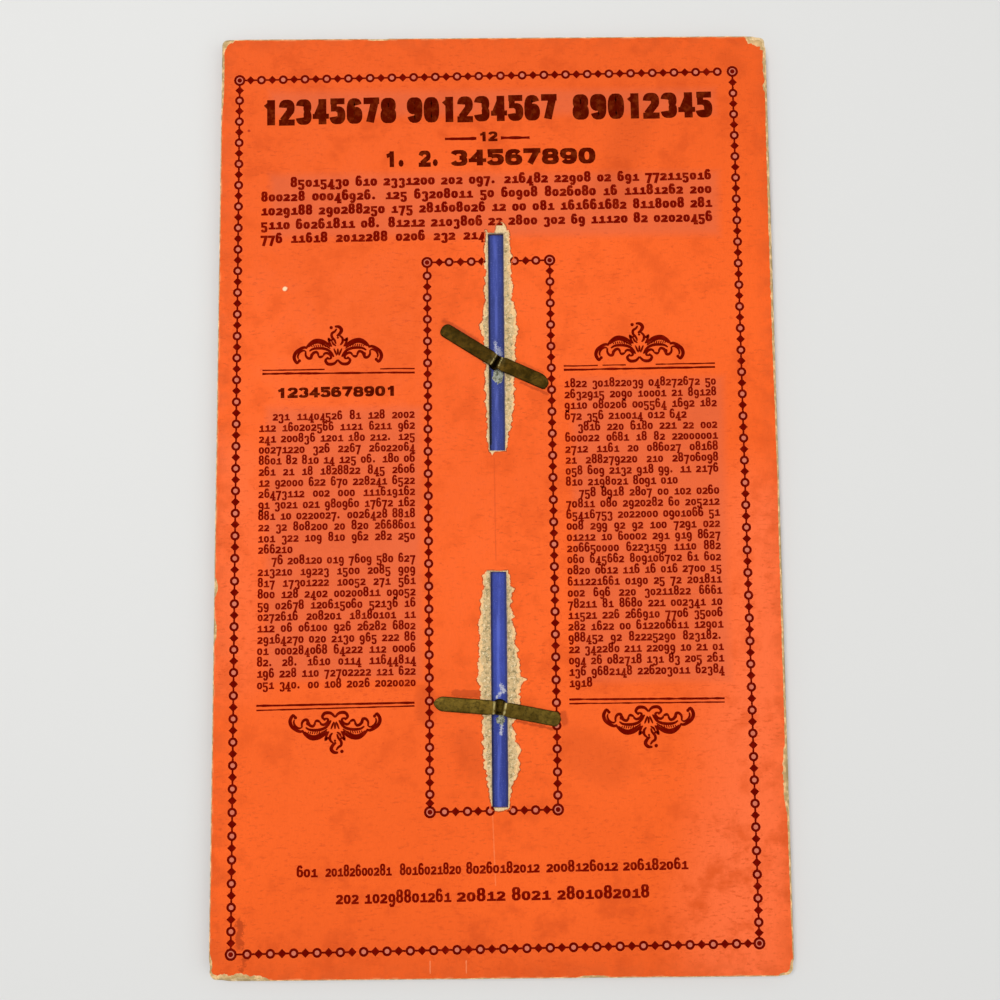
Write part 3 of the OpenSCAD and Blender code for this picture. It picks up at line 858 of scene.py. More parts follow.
head_left, head_right = on_back(-15.55, 60.2), on_back(15.65, 60.2)
foot_left, foot_right = on_back(-15.55, -76.7), on_back(15.65, -76.7)
slot_chain = []
chain_side(slot_chain, head_right, foot_right, 24, 1.00, 0.62, (True, False))
chain_side(slot_chain, foot_left, head_left, 24, 0.76, 0.62, (True, False))
chain_across(slot_chain, head_left, head_right, (-14.4, -11.9, -9.0, -6.25, -3.6, 4.75, 7.6, 10.2))
chain_across(slot_chain, foot_right, foot_left,
             (11.35, 8.6, 5.85, 3.1, 0.3, -2.5, -5.4, -8.0, -10.9, -13.6))
print_chain("slot_border", slot_chain, PRINT_Z, "bottom_card", border_ink, pink_film)

# ---------------------------------------------------------------- bottom card: rules and scrolls
# Over and under the two columns of type stand double rules, thick and thin and battered
# in places, each with a foliate scroll: one piece of type, turned upside down below.
DOT_SIDES = 8
CURVE_STEPS = 4


def headings(path, closed):
    """The way a path runs at each point, and how far a strip's corner there stands out beyond its width"""
    nowhere = Vector((0, 0))
    ways = []
    for i, point in enumerate(path):
        after = path[(i + 1) % len(path)]
        came = (point - path[i - 1]).normalized() if i or closed else nowhere
        goes = (after - point).normalized() if closed or i + 1 < len(path) else nowhere
        along = (came + goes).normalized()
        ways.append((along, 1 / max(along.dot(came), along.dot(goes), 0.7)))
    return ways


def ribbon(mesh, path, widths, z, closed=False):
    """A flat strip of changing width along a path of points, as a closed thin solid"""
    low = (z - INK_THICKNESS / 2) * MM
    high = (z + INK_THICKNESS / 2) * MM
    rings = []
    for point, width, (along, corner) in zip(path, widths, headings(path, closed)):
        side = Vector((-along.y, along.x)) * width / 2 * corner
        rings.append([mesh.verts.new((*(point + side * way) * MM, level))
                      for way, level in ((-1, low), (-1, high), (1, high), (1, low))])
    for here, there in zip(rings, rings[1:] + rings[:1] if closed else rings[1:]):
        for k in range(4):
            mesh.faces.new([here[k], here[(k + 1) % 4], there[(k + 1) % 4], there[k]])
    if not closed:
        mesh.faces.new(rings[0][::-1])
        mesh.faces.new(rings[-1])


def dot(mesh, middle, size, z):
    """A round spot of ink"""
    rings = [[mesh.verts.new(((middle.x + size / 2 * math.cos(2 * math.pi * i / DOT_SIDES)) * MM,
                              (middle.y + size / 2 * math.sin(2 * math.pi * i / DOT_SIDES)) * MM, level * MM))
              for i in range(DOT_SIDES)] for level in (z - INK_THICKNESS / 2, z + INK_THICKNESS / 2)]
    mesh.faces.new(rings[0][::-1])
    mesh.faces.new(rings[1])
    for i in range(DOT_SIDES):
        j = (i + 1) % DOT_SIDES
        mesh.faces.new([rings[0][i], rings[0][j], rings[1][j], rings[1][i]])


def curve_through(points):
    """A smooth path through the given points"""
    path = [Vector(p) for p in points]
    ends = [path[0] * 2 - path[1]] + path + [path[-1] * 2 - path[-2]]
    smooth = []
    for a, b, c, d in zip(ends, ends[1:], ends[2:], ends[3:]):
        for i in range(CURVE_STEPS):
            t = i / CURVE_STEPS
            smooth.append((b * 2 + (c - a) * t + (a * 2 - b * 5 + c * 4 - d) * t * t
                           + (b * 3 - a - c * 3 + d) * t ** 3) / 2)
    return smooth + [path[-1]]


def finish_print(name, mesh, body, ink):
    """Turns printed shapes into a piece of the object"""
    piece = show(build(name, mesh))
    piece.data.materials.append(ink)
    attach(piece, body)


def rule(mesh, start, end, width, seed, place=on_back, z=PRINT_Z):
    """A printed line from (p, q) to (p, q), a little uneven"""
    count = max(2, round((Vector(end) - Vector(start)).length / 0.9))
    spots = [Vector(start).lerp(Vector(end), i / count) for i in range(count + 1)]
    widths = [width * (1 + 0.45 * rough(s.x, s.y, 2.2, seed)) for s in spots]
    ribbon(mesh, [place(s.x, s.y + 0.05 * rough(s.x, s.y, 5, seed + 3)) for s in spots], widths, z)


rules = bmesh.new()
for number, (start, end, width) in enumerate((
        ((-57.2, 33.2), (-41.5, 33.1), 0.34), ((-27.5, 33.0), (-18.8, 32.9), 0.34),
        ((-57.2, 32.3), (-18.8, 31.9), 0.50), ((-58.0, -50.3), (-19.2, -50.3), 0.50),
        ((-58.0, -51.4), (-19.2, -51.1), 0.34), ((18.8, 32.8), (27.4, 32.8), 0.34),
        ((28.6, 32.8), (34.5, 32.8), 0.30), ((42.0, 32.8), (57.0, 32.8), 0.34),
        ((18.8, 31.8), (57.0, 31.8), 0.50), ((18.8, -50.3), (57.0, -50.8), 0.50),
        ((18.8, -51.3), (57.0, -51.7), 0.34), ((-10.8, 92.6), (-2.7, 92.6), 0.72),
        ((3.6, 92.6), (11.0, 92.6), 0.72))):
    rule(rules, start, end, width, 60 + number)
finish_print("rules", rules, "bottom_card", border_ink)

# Half of the scroll's strokes as (points, width); the other half is their mirror image
SCROLL_HALF = (
    (((-9.5, 1.33), (-10.3, 0.62), (-11, 1.78), (-10.75, 3), (-9.86, 3.9), (-8.6, 4.53), (-7.7, 4.35)), 0.5),
    (((-9.95, 1.6), (-10.1, 2.3), (-9.7, 3.2), (-8.8, 3.73), (-8.1, 3.55)), 0.3),
    (((-8, 4.35), (-7.2, 5.33), (-6.1, 6.13), (-5.06, 6.3), (-3.8, 6.04), (-2.6, 5.33), (-1.87, 4.6)), 0.5),
    (((-7.4, 4.6), (-6.3, 5.4), (-5.06, 5.7), (-4, 5.4), (-2.9, 4.8), (-1.9, 4.1)), 0.28),
    (((-7.2, 3.55), (-6.3, 4.1), (-5.06, 4.26), (-3.64, 4.17), (-2.4, 3.73), (-1.5, 2.84), (-1, 1.95)), 0.4),
    (((-8.1, 3.55), (-8.1, 2.5), (-7.55, 1.78), (-6.84, 1.78), (-6.57, 2.5), (-6.1, 3.1), (-5.4, 3.3),
      (-4.97, 2.75), (-4.97, 2.3)), 0.42),
    (((-3.64, 2.3), (-3.46, 2.75), (-2.93, 3), (-2.2, 2.75), (-1.7, 2.1), (-1.87, 1.6), (-2.6, 1.5)), 0.38),
    (((-4.97, 2.3), (-4.4, 2.0), (-3.64, 2.3)), 0.38),
    (((-2.6, 1.8), (-3.1, 1.07), (-2.6, 0.27), (-1.7, 0.1), (-0.8, 0.36), (0, 1.24)), 0.45),
    (((-1.5, 4.6), (-2.1, 5.7), (-2.3, 6.6), (-1.7, 6.2), (-1.2, 6.75)), 0.34),
    (((-1, 4.1), (-0.27, 2.3)), 0.28))
SCROLL_CENTRE = (
    (((-0.8, 9.77), (0.27, 9.68), (0.9, 8.9), (0.53, 8), (-0.27, 7.3)), 0.5),
    (((-0.3, 9.2), (-0.8, 8.5), (-1.5, 8), (-1.5, 7.1), (-0.8, 6.2), (-0.5, 5.3)), 0.38),
    (((0.27, 7.6), (1.15, 6.75), (1.15, 5.7), (0.6, 5)), 0.36),
    (((-1.5, 6), (-1.15, 5.3), (-0.45, 4.8)), 0.3), (((0, 4.1), (0, 2.5)), 0.3))
HATCHES = tuple((((x, 5.25 - 0.04 * abs(x + 5.1)), (x + 0.25, 4.55)), 0.16)
                for x in (-6.7, -6.15, -5.6, -5.05, -4.5, -3.95, -3.4))
scrolls = bmesh.new()
for p, q, turned_over in ((-38.2, 34.3, 1), (38.0, 33.6, 1), (-38.7, -52.2, -1), (38.2, -52.4, -1)):
    strokes = [(points, width, 1) for points, width in SCROLL_CENTRE]
    strokes += [(points, width, side) for points, width in SCROLL_HALF + HATCHES for side in (1, -1)]
    for layer, (points, width, side) in enumerate(strokes):
        path = curve_through(points)
        last = len(path) - 1
        widths = [width * (0.9 + 0.9 * math.sin(math.pi * i / last) ** 0.7) for i in range(last + 1)]
        ribbon(scrolls, [on_back(p + turned_over * side * v.x, q + turned_over * v.y) for v in path], widths,
               PRINT_Z + 0.0004 * layer)
    for x, y, size in ((-9.7, 1.15, 0.85), (9.7, 1.15, 0.85), (-1.7, 9.5, 0.9), (-2.55, 1.75, 0.6),
                       (2.55, 1.75, 0.6), (6.6, 2.6, 1.1), (-6.6, 2.6, 0.8), (0.0, 6.9, 0.6)):
        dot(scrolls, on_back(p + turned_over * x, q + turned_over * y), size, PRINT_Z)
finish_print("scrolls", scrolls, "bottom_card", border_ink)

# ---------------------------------------------------------------- bottom card: type
# Numbers printed where the page has its words, set like them: a heavy display line, wide
# bold lines, and solid justified text in old-style figures. Each figure is a few pen
# strokes, thick upright and thin level, and letters set over a torn place are missing.


def bow(x, y, width, height, start, end, sides):
    """Points along part of an oval, a little squarer than an ellipse, that has so many sides in all"""
    steps = max(2, round(abs(end - start) / 360 * sides))
    points = []
    for i in range(steps + 1):
        angle = math.radians(start + (end - start) * i / steps)
        across, up = math.cos(angle), math.sin(angle)
        points.append((x + width * math.copysign(abs(across) ** 0.82, across),
                       y + height * math.copysign(abs(up) ** 0.82, up)))
    return points


def figure_strokes(figure, sides, serifs):
    """A figure's strokes in a box of one by one, as (kind, points, weight): a stem is upright with flat
    ends, an arm is level, a curve is open or slanting and a loop is closed"""
    if figure == 0:
        return [("loop", bow(0.5, 0.5, 0.5, 0.5, 90, 450, sides)[1:], 1)]
    if figure == 1:
        foot = [("arm", [(0.05, 0), (1.05, 0)], 1.1)] if serifs else []
        return [("stem", [(0.65, 0), (0.65, 1)], 1), ("curve", [(0.75, 0.97), (0.0, 0.74)], 0.9)] + foot
    if figure == 2:
        neck = bow(0.5, 0.72, 0.5, 0.28, 178, -32, sides) + [(0.04, 0.1)]
        return [("curve", neck, 1), ("arm", [(0, 0), (1, 0)], 1.2)]
    if figure == 3:
        return [("curve", bow(0.5, 0.745, 0.48, 0.255, 172, -85, sides), 1),
                ("curve", bow(0.5, 0.265, 0.5, 0.265, 85, -172, sides), 1)]
    if figure == 4:
        foot = [("arm", [(0.4, 0), (1.05, 0)], 1.1)] if serifs else []
        return [("stem", [(0.74, 0), (0.74, 1)], 1), ("curve", [(0.7, 0.97), (-0.05, 0.29)], 0.7),
                ("arm", [(0, 0.27), (1.03, 0.27)], 1)] + foot
    if figure == 5:
        return [("arm", [(0.05, 1), (0.95, 1)], 1.2), ("stem", [(0.04, 0.5), (0.04, 0.98)], 0.75),
                ("curve", bow(0.48, 0.31, 0.52, 0.31, 128, -170, sides), 1)]
    if figure == 7:
        return [("arm", [(0, 1), (1, 1)], 1.3), ("curve", [(0.95, 0.97), (0.3, -0.06)], 1)]
    if figure == 8:
        return [("loop", bow(0.5, 0.755, 0.45, 0.245, 90, 450, sides)[1:], 1),
                ("loop", bow(0.5, 0.265, 0.5, 0.265, 90, 450, sides)[1:], 1)]
    six = [("curve", bow(0.5, 0.5, 0.5, 0.5, 195, 32, sides), 1),
           ("loop", bow(0.5, 0.29, 0.5, 0.29, 90, 450, sides)[1:], 1)]
    if figure == 6:
        return six
    return [(kind, [(1 - u, 1 - v) for u, v in points], weight) for kind, points, weight in six]


STOP = 10


def cut_type(name, thick, thin, aspect, sides, old_style):
    """A case of the ten figures and a full stop, made one wide and aspect high and then squeezed to one
    high. thick and thin are the widths of upright and level strokes"""
    case = bpy.data.collections.new(name)
    for figure in range(STOP + 1):
        low = -0.42 * aspect if old_style and figure in (3, 4, 5, 7, 9) else 0.0
        high = (1.45 if old_style and figure in (6, 8) else 1.0) * aspect
        mesh = bmesh.new()
        if figure == STOP:
            dot(mesh, Vector((-0.2, thick * 0.6)), thick * 1.2, 0)
        strokes = [] if figure == STOP else figure_strokes(figure, sides, old_style)
        for layer, (kind, points, weight) in enumerate(strokes):
            wide = 1 if kind == "arm" else 1 - thick
            lift = 0 if kind == "stem" else thin / 2
            spots = [Vector(((u - 0.5) * wide, low + lift + v * (high - low - 2 * lift))) for u, v in points]
            closed = kind == "loop"
            widths = [weight * (thin + (thick - thin) * abs(along.y)) for along, _ in headings(spots, closed)]
            ribbon(mesh, spots, widths, 0.004 * layer, closed)
        for vert in mesh.verts:
            vert.co.y /= aspect
        case.objects.link(build("%s_%02d" % (name, figure), mesh))
    return case


typesetting, given, result = start_group(
    "GeometryNodeTree", "typesetting",
    [("Geometry", "Geometry"), ("Case", "Collection"), ("Facing", "Vector"), ("Unevenness", "Float"),
     ("Seed", "Int"), ("Ink", "Material")], [("Geometry", "Geometry")])
shift = put(typesetting, "FunctionNodeRandomValue", {0: (-1, -1, 0), 1: (1, 1, 0), 8: given["Seed"]},
            data_type="FLOAT_VECTOR").outputs[0]
shift = put(typesetting, "ShaderNodeVectorMath", {0: shift, "Scale": given["Unevenness"]},
            operation="SCALE").outputs[0]
spots = put(typesetting, "GeometryNodeSetPosition", {
    "Geometry": given["Geometry"], "Offset": shift}).outputs[0]
figures = put(typesetting, "GeometryNodeCollectionInfo", {
    "Collection": given["Case"], "Separate Children": True, "Reset Children": True}).outputs[0]
scale = put(typesetting, "ShaderNodeCombineXYZ", {
    "X": named(typesetting, "wide", "FLOAT"), "Y": named(typesetting, "tall", "FLOAT"), "Z": 1.0}).outputs[0]
chosen = named(typesetting, "figure", "INT")
placed = put(typesetting, "GeometryNodeInstanceOnPoints", {
    "Points": spots, "Instance": figures, "Pick Instance": True, "Instance Index": chosen,
    "Rotation": given["Facing"], "Scale": scale}).outputs[0]
solid = put(typesetting, "GeometryNodeRealizeInstances", {"Geometry": placed}).outputs[0]
inked = put(typesetting, "GeometryNodeSetMaterial", {"Geometry": solid, "Material": given["Ink"]}).outputs[0]
typesetting.links.new(inked, result.inputs[0])


def print_type(name, letters, case, z, facing, seed, body, ink):
    """Prints letters, each a place on the card, a figure, a width and a height"""
    spots, figures, widths, heights = zip(*letters)
    piece = grow(name, [(spot.x, spot.y, z) for spot in spots],
                 {"figure": figures, "wide": widths, "tall": heights}, typesetting,
                 {"Case": case, "Facing": facing, "Unevenness": 0.03 * MM, "Seed": seed, "Ink": ink})
    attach(piece, body)


pick = random.Random(26)
# How long words are, how often each figure comes and how often a word ends in a full stop
WORD_LENGTHS = (2, 2, 3, 3, 3, 3, 4, 4, 5, 6, 7, 8, 9)
FIGURE_SHARES = (3, 2.5, 3, 0.4, 0.4, 0.5, 1.3, 0.4, 1.2, 0.5)
STOP_SHARE = 0.1


def set_line(letters, left, right, base, tall, advance, full=True):
    """One line of numbers for words, spaced out to fill it if it is full"""
    room = (right - left) / advance
    words = [pick.choice(WORD_LENGTHS)]
    while sum(words) + 0.7 * len(words) < room - 2:
        left_over = int(room - sum(words) - 0.7 * len(words))
        words.append(min(pick.choice(WORD_LENGTHS), left_over))
    spare = (right - left) - sum(words) * advance
    gap = spare / max(len(words) - 1, 1) if full else 0.8 * advance
    at = left
    for word in words:
        for i in range(word):
            figure = pick.choices(range(10), FIGURE_SHARES)[0]
            if i == word - 1 and word > 2 and pick.random() < STOP_SHARE:
                figure = STOP
            spot = on_back(at + advance / 2, base)
            if not torn_away(spot + Vector((0, tall / 2))):
                size = pick.uniform(0.97, 1.03)
                letters.append((spot, figure, advance * 0.93 * size, tall * size))
            at += advance
        at += gap


def set_number(letters, number, left, right, base, tall, fill):
    """A given number spread from left to right; each figure fills that share of its own width"""
    cell = (right - left) / len(number)
    for i, figure in enumerate(number):
        letters.append((on_back(left + (i + 0.5) * cell, base), STOP if figure == "." else int(figure),
                        cell * fill, tall))


text_case = cut_type("text_type", 0.42, 0.27, 1.1, 9, True)
column_case = cut_type("column_type", 0.36, 0.23, 1.1, 9, True)
display_case = cut_type("display_type", 0.50, 0.36, 1.8, 22, False)
wide_case = cut_type("wide_type", 0.36, 0.22, 0.95, 16, False)
LEAN = (0, 0, PRINT_SLOPE)

title = []
for number, left, right in (("12345678", -58.0, -23.1), ("901234567", -20.7, 18.3), ("89012345", 22.0, 58.4)):
    set_number(title, number, left, right, 97.1, 6.75, 0.93)
print_type("display_line", title, display_case, PRINT_Z, LEAN, 1, "bottom_card", title_ink)

wide_lines = []
for number, left, right, base, tall in (
        ("12", -2.2, 2.8, 91.8, 2.55), ("1.", -26.4, -19.8, 85.4, 4.2), ("2.", -17.65, -11.05, 85.4, 4.2),
        ("34567890", -9.6, 28.0, 85.4, 4.2), ("12345678901", -53.7, -23.4, 26.0, 2.6)):
    set_number(wide_lines, number, left, right, base, tall, 0.94)
print_type("wide_lines", wide_lines, wide_case, PRINT_Z, LEAN, 2, "bottom_card", title_ink)

paragraph = []
for left, right, base in ((-50.5, 57.5, 80.6), (-58, 57.5, 76.95), (-58, 57.5, 73.3), (-58, 57.5, 69.6),
                          (-58, -0.6, 66.0)):
    set_line(paragraph, left, right, base, 1.9, 1.9)
print_type("head_text", paragraph, text_case, PRINT_Z, LEAN, 3, "bottom_card", text_ink)

# How tall the columns' figures are, and how much of the line each takes
COLUMN_TALL = 1.65
COLUMN_ADVANCE = 1.45
left_column = []
for line in range(25):
    left = -54.6 if line in (0, 13) else -58.0
    right = -46.0 if line == 12 else -18.8
    set_line(left_column, left, right, 20.3 - 2.775 * line, COLUMN_TALL, COLUMN_ADVANCE, line != 12)
print_type("left_column", left_column, column_case, PRINT_Z, LEAN, 4, "bottom_card", text_ink)

right_column = []
for line in range(28):
    left = 22.0 if line in (4, 10) else 18.8
    right = {3: 49.5, 9: 47.0, 27: 24.8}.get(line, 57.2)
    set_line(right_column, left, right, 27.3 - 2.765 * line, COLUMN_TALL, COLUMN_ADVANCE,
             line not in (3, 9, 27))
print_type("right_column", right_column, column_case, PRINT_Z, LEAN, 5, "bottom_card", text_ink)

foot_lines = []
for number, left, right in (("601", -48, -42.8), ("20182600281", -41, -24.9), ("8016021820", -23, -8),
                            ("80260182012", -6.9, 11), ("2008126012", 12.5, 30), ("206182061", 31.1, 47)):
    set_number(foot_lines, number, left, right, -91.5, 1.95, 0.95)
for number, left, right in (("202", -38.5, -32.8), ("10298801261", -31.6, -10.5), ("20812", -9.3, 2.7),
                            ("8021", 4, 13.6), ("2801082018", 15, 37.5)):
    set_number(foot_lines, number, left, right, -98.0, 2.2, 0.92)
print_type("foot_lines", foot_lines, column_case, PRINT_Z, LEAN, 6, "bottom_card", text_ink)

# ---------------------------------------------------------------- bottom card: front paper
# The same orange paper pasted on the card's face, where the rows are printed that the
# windows step over. The cards have kept it cleaner than the back.
FACE_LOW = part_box("bottom_card_front_paper")[0].z / MM
face_edge = worn_edge(card_outline(0.9), 0.18, 0.10, 1.8, 53, BOARD_BITES)
face_slots = [[Vector((p.x * 1.01, p.y)) for p in slot_outline(slot, 0.8)] for slot in SLOTS]
face_ply = slab("bottom_card_face", [face_edge] + face_slots, across_card(10), FACE_LOW,
                lambda x, y, on_edge: BOARD_LOW)
clean_finish, tree, shader, place = start_finish("clean_orange_paper", 0.5, 0.1)
fibre = use(tree, fibres, {"Vector": place, "Fleck": 0.40})
colour = mottle(tree, place, paint(250, 101, 37), paint(230, 86, 26), 0.13, 0.48, 0.72, 0.45, 4.0, 0.62)
colour = mottle(tree, place, colour, paint(210, 74, 20), 0.75, 0.62, 0.76, 0.4)
colour = tint(tree, ease(tree, fibre["Shade"], 0.0, 1.0, 0.12, 0.0), colour, paint(196, 66, 16))
coat(tree, shader, colour, fibre["Height"], 0.10)
face_ply.data.materials.append(clean_finish)
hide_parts("bottom_card_front_paper")
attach(face_ply, "bottom_card")

# ---------------------------------------------------------------- top card
# A smaller pasteboard with glossy blue paper on both sides, cut through by the windows.
# The pins' legs have dragged pale scuffs along the blue paper of its back.
blue_finish, tree, shader, place = start_finish("blue_paper", 0.42, 0.12)
fibre = use(tree, fibres, {"Vector": place, "Fleck": 0.30})
drift = cloud(tree, place, 0.09, 3.0)
where = put(tree, "ShaderNodeSeparateXYZ", {0: place}).outputs
# Painted shade: the blue is painted darker about the upper slot than the lower
low_down = ease(tree, where["Y"], 10.0, -20.0)
darker = tint(tree, low_down, paint(42, 54, 122), paint(50, 62, 146))
lighter = tint(tree, low_down, paint(52, 65, 142), paint(60, 75, 168))
colour = tint(tree, ease(tree, drift, 0.35, 0.65), darker, lighter)
colour = tint(tree, ease(tree, where["Y"], -50.0, -62.0, 0.0, 0.45), colour, paint(40, 50, 118))
colour = tint(tree, ease(tree, fibre["Shade"], 0.25, 1.0, 0.22, 0.0), colour, paint(36, 40, 92))
unmarked = mottle(tree, place, colour, paint(140, 152, 216), 3.2, 0.60, 0.72, 0.4, 2.0)
# The pins have marked the card's back only
board_low, board_high = (corner.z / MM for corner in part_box("top_card_board"))
on_its_back = ease(tree, where["Z"], board_low, board_high)
# A streak down the middle of the back is painted lighter, a painted sheen, and made glossier
streaky = put(tree, "ShaderNodeMapping", {"Vector": place, "Scale": (1.0, 0.12, 1.0)}).outputs[0]
from_streak = maths(tree, "ABSOLUTE", maths(tree, "ADD", where["X"], 0.15))
polish_and_sheen = maths(tree, "MULTIPLY", ease(tree, from_streak, 0.85, 0.1),
               ease(tree, cloud(tree, streaky, 0.8, 3.0), 0.34, 0.60))
painted_sheen = maths(tree, "MULTIPLY", polish_and_sheen, ease(tree, low_down, 0.0, 1.0, 0.45, 0.65))
colour = tint(tree, painted_sheen, unmarked, paint(92, 108, 206))
# Along the slots' edges the blue paper is painted dark as the slot walls' shadow, darkest beside the left
# edge below the upper pin, and beside the pins' necks it is scraped pale
scuff_and_shadow_edge = cloud(tree, place, 2.4, 3.0, 0.7)
for over, start, end, radius, softness, strength, raggedness in (
        (paint(26, 28, 62), (-2.2, 66.0), (-2.2, -78.0), 0.45, 0.6, 0.75, 0.5),
        (paint(44, 46, 82), (2.2, 66.0), (2.2, -78.0), 0.4, 0.6, 0.65, 0.5),
        (paint(8, 8, 18), (-1.75, 30.5), (-1.8, 12.0), 0.30, 0.25, 0.95, 0.5),
        (paint(200, 200, 210), (-0.3, 37.8), (0.0, 34.8), 0.0, 0.45, 0.75, 2.6),
        (paint(170, 172, 186), (0.6, 36.1), (0.9, 34.9), 0.2, 0.6, 0.6, 2.6),
        (paint(200, 200, 210), (0.4, -48.4), (1.2, -49.7), 0.1, 0.6, 0.8, 2.6),
        (paint(200, 200, 210), (-0.7, -51.2), (0.6, -49.9), 0.0, 0.5, 0.85, 2.2),
        (paint(200, 200, 210), (0.5, -58.1), (0.35, -60.2), 0.0, 0.45, 0.8, 2.2)):
    colour = stain(tree, place, scuff_and_shadow_edge, colour, over, start, end, radius, softness, strength, raggedness)
shine = ease(tree, maths(tree, "MULTIPLY", polish_and_sheen, on_its_back), 0.0, 1.0, 0.46, 0.30)
tree.links.new(shine, shader.inputs["Roughness"])
coat(tree, shader, tint(tree, on_its_back, unmarked, colour), fibre["Height"], 0.08)
for node in ("top_card_back_paper", "top_card_front_paper"):
    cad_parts[node].data.materials.clear()
    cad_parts[node].data.materials.append(blue_finish)
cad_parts["top_card_board"].data.materials.clear()
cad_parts["top_card_board"].data.materials.append(pulp_finish)

BLUE_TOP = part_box("top_card_back_paper")[1].z / MM
torn_finish, tree, shader, place = start_finish("torn_board", 0.9, 0.1)
crumbs = cloud(tree, place, 1.6, 4.0, 0.75)
colour = tint(tree, ease(tree, crumbs, 0.34, 0.68), paint(92, 96, 72), paint(204, 206, 188))
coat(tree, shader, colour, crumbs, 0.6)

# Torn bits of the top card's board, pressed flat on its blue paper below each pin's neck
for name, middle, half_w, half_h, seed in (("upper_torn_bit", (0.4, 29.1), 1.2, 2.0, 71),
                                           ("lower_torn_bit", (0.3, -56.7), 1.1, 1.15, 83)):
    outline = []
    for i in range(40):
        angle = 2 * math.pi * i / 40
        size = 1 + 0.42 * rough(math.cos(angle) * 3, math.sin(angle) * 3, 1.9, seed)
        outline.append(Vector((middle[0] + half_w * size * math.cos(angle),
                               middle[1] + half_h * size * math.sin(angle))))
    inner = [Vector((middle[0] + 0.3 * i, middle[1] + 0.3 * j)) for i in range(-2, 3) for j in range(-2, 3)]
    bit = slab(name, [outline], inner, BLUE_TOP - 0.01,
               lambda x, y, on_edge: BLUE_TOP + (0.02 if on_edge else 0.055))
    bit.data.materials.append(torn_finish)
    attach(bit, "top_card")

# ---------------------------------------------------------------- split pins
# Each pin is one soft brass strip, folded to two legs: its foot is held in a domed cap, and
# its prongs are pushed through both cards and bent flat by hand. The brass has tarnished
# to dark olive. Over its bends it is painted lighter, rubbed brass with a painted highlight; its
# edges and tips are painted dark, darker tarnish with painted shade, and the upper pin is painted
# darker as shade, its left prongs most.
STRIP = 0.35
NECK_HALF = 1.6
PRONG_HALF = 1.8
TIP_GAP = 0.12
FOOT_Z = 1.135
FOOT_HALF = 3.2
# A strip's cross-section: shares of its half width and of its thickness
SECTION = ((-1, 0.2), (-0.96, 0.42), (-0.82, 0.5), (-0.45, 0.5), (0, 0.5), (0.45, 0.5), (0.82, 0.5),
           (0.96, 0.42), (1, 0.2), (1, -0.2), (0.96, -0.42), (0.82, -0.5), (0, -0.5), (-0.82, -0.5),
           (-0.96, -0.42), (-1, -0.2))


def leg_path(gap, bend, reach):
    """The middle line of a leg in (x, z), up from the foot, over the bend and out to the tip"""
    leg_x = gap / 2 + STRIP / 2
    middle = bend + STRIP / 2
    bend_x = leg_x + middle
    slope = -math.asin((bend - TIP_GAP) / (reach - bend_x))
    path = [(leg_x, FOOT_Z), (leg_x, 2.4), (leg_x, 3.6)]
    path += [(bend_x + middle * math.cos(a), BACK_FACE + middle * math.sin(a))
             for a in [math.pi - (math.pi / 2 - slope) * i / 10 for i in range(11)]]
    out_x, out_z = path[-1]
    drop = (reach - bend_x) * math.sin(slope) / (reach - out_x)
    runs = [reach - out_x - 0.7 * i for i in range(1, 30) if reach - out_x - 0.7 * i > 2.4]
    for to_go in runs + [2.2, 1.8, 1.4, 1.05, 0.75, 0.5, 0.3, 0.16, 0.07, 0.02]:
        x = reach - to_go
        path.append((x, out_z + drop * (x - out_x) + 0.035 * rough(x, bend * 9, 3.0, gap * 7)))
    return path


def tip_half(away, reach, power):
    """Half width of a prong some way from its tip"""
    share = 1 - min(away / reach, 1.0)
    return PRONG_HALF * (1 - share ** power) ** (1 / power)


def sweep(mesh, path, halves, turn, mirrored, middle_y):
    """Adds a strip along a path of (x, z); halves gives its half width to either side at each point"""
    rubbed = mesh.verts.layers.float["rubbed"]
    rings = []
    for i, (x, z) in enumerate(path):
        before = Vector(path[max(i - 1, 0)])
        after = Vector(path[min(i + 1, len(path) - 1)])
        along = (after - before).normalized()
        crest = max(0.0, 1 - abs(along.y - 0.35) * 2.2) if 2 < i < 15 else 0.0
        near_tip = max(0.0, 1 - (path[-1][0] - x) / 0.5)
        ring = []
        for across, rise in SECTION:
            side = across * halves[i][0 if across < 0 else 1]
            lift = rise * STRIP + (0.05 * (1 - across * across) if z > BACK_FACE else 0.0)
            spot = Vector((x - along.y * lift, side, z + along.x * lift))
            if mirrored:
                spot.x = -spot.x
                spot.y = -spot.y
            spot = Matrix.Rotation(turn, 3, "Z") @ spot + Vector((0, middle_y, 0))
            vert = mesh.verts.new(spot * MM)
            # The rubbed layer carries painted light: it rises over the bend for a painted highlight on rubbed
            # brass, and falls along the edges and near the tip for painted shade over darker tarnish
            vert[rubbed] = crest - max(near_tip, max(abs(across) - 0.8, 0) / 0.2) * (crest == 0)
            ring.append(vert)
        rings.append(ring)
    for here, there in zip(rings, rings[1:]):
        for k in range(len(SECTION)):
            j = (k + 1) % len(SECTION)
            mesh.faces.new([here[k], here[j], there[j], there[k]])
    mesh.faces.new(rings[0][::-1])
    mesh.faces.new(rings[-1])


brass_finish, tree, shader, place = start_finish("tarnished_brass", 0.45, 0.0, 0.5)
stained = cloud(tree, place, 0.45, 4.0, 0.6)
where = put(tree, "ShaderNodeSeparateXYZ", {0: place}).outputs
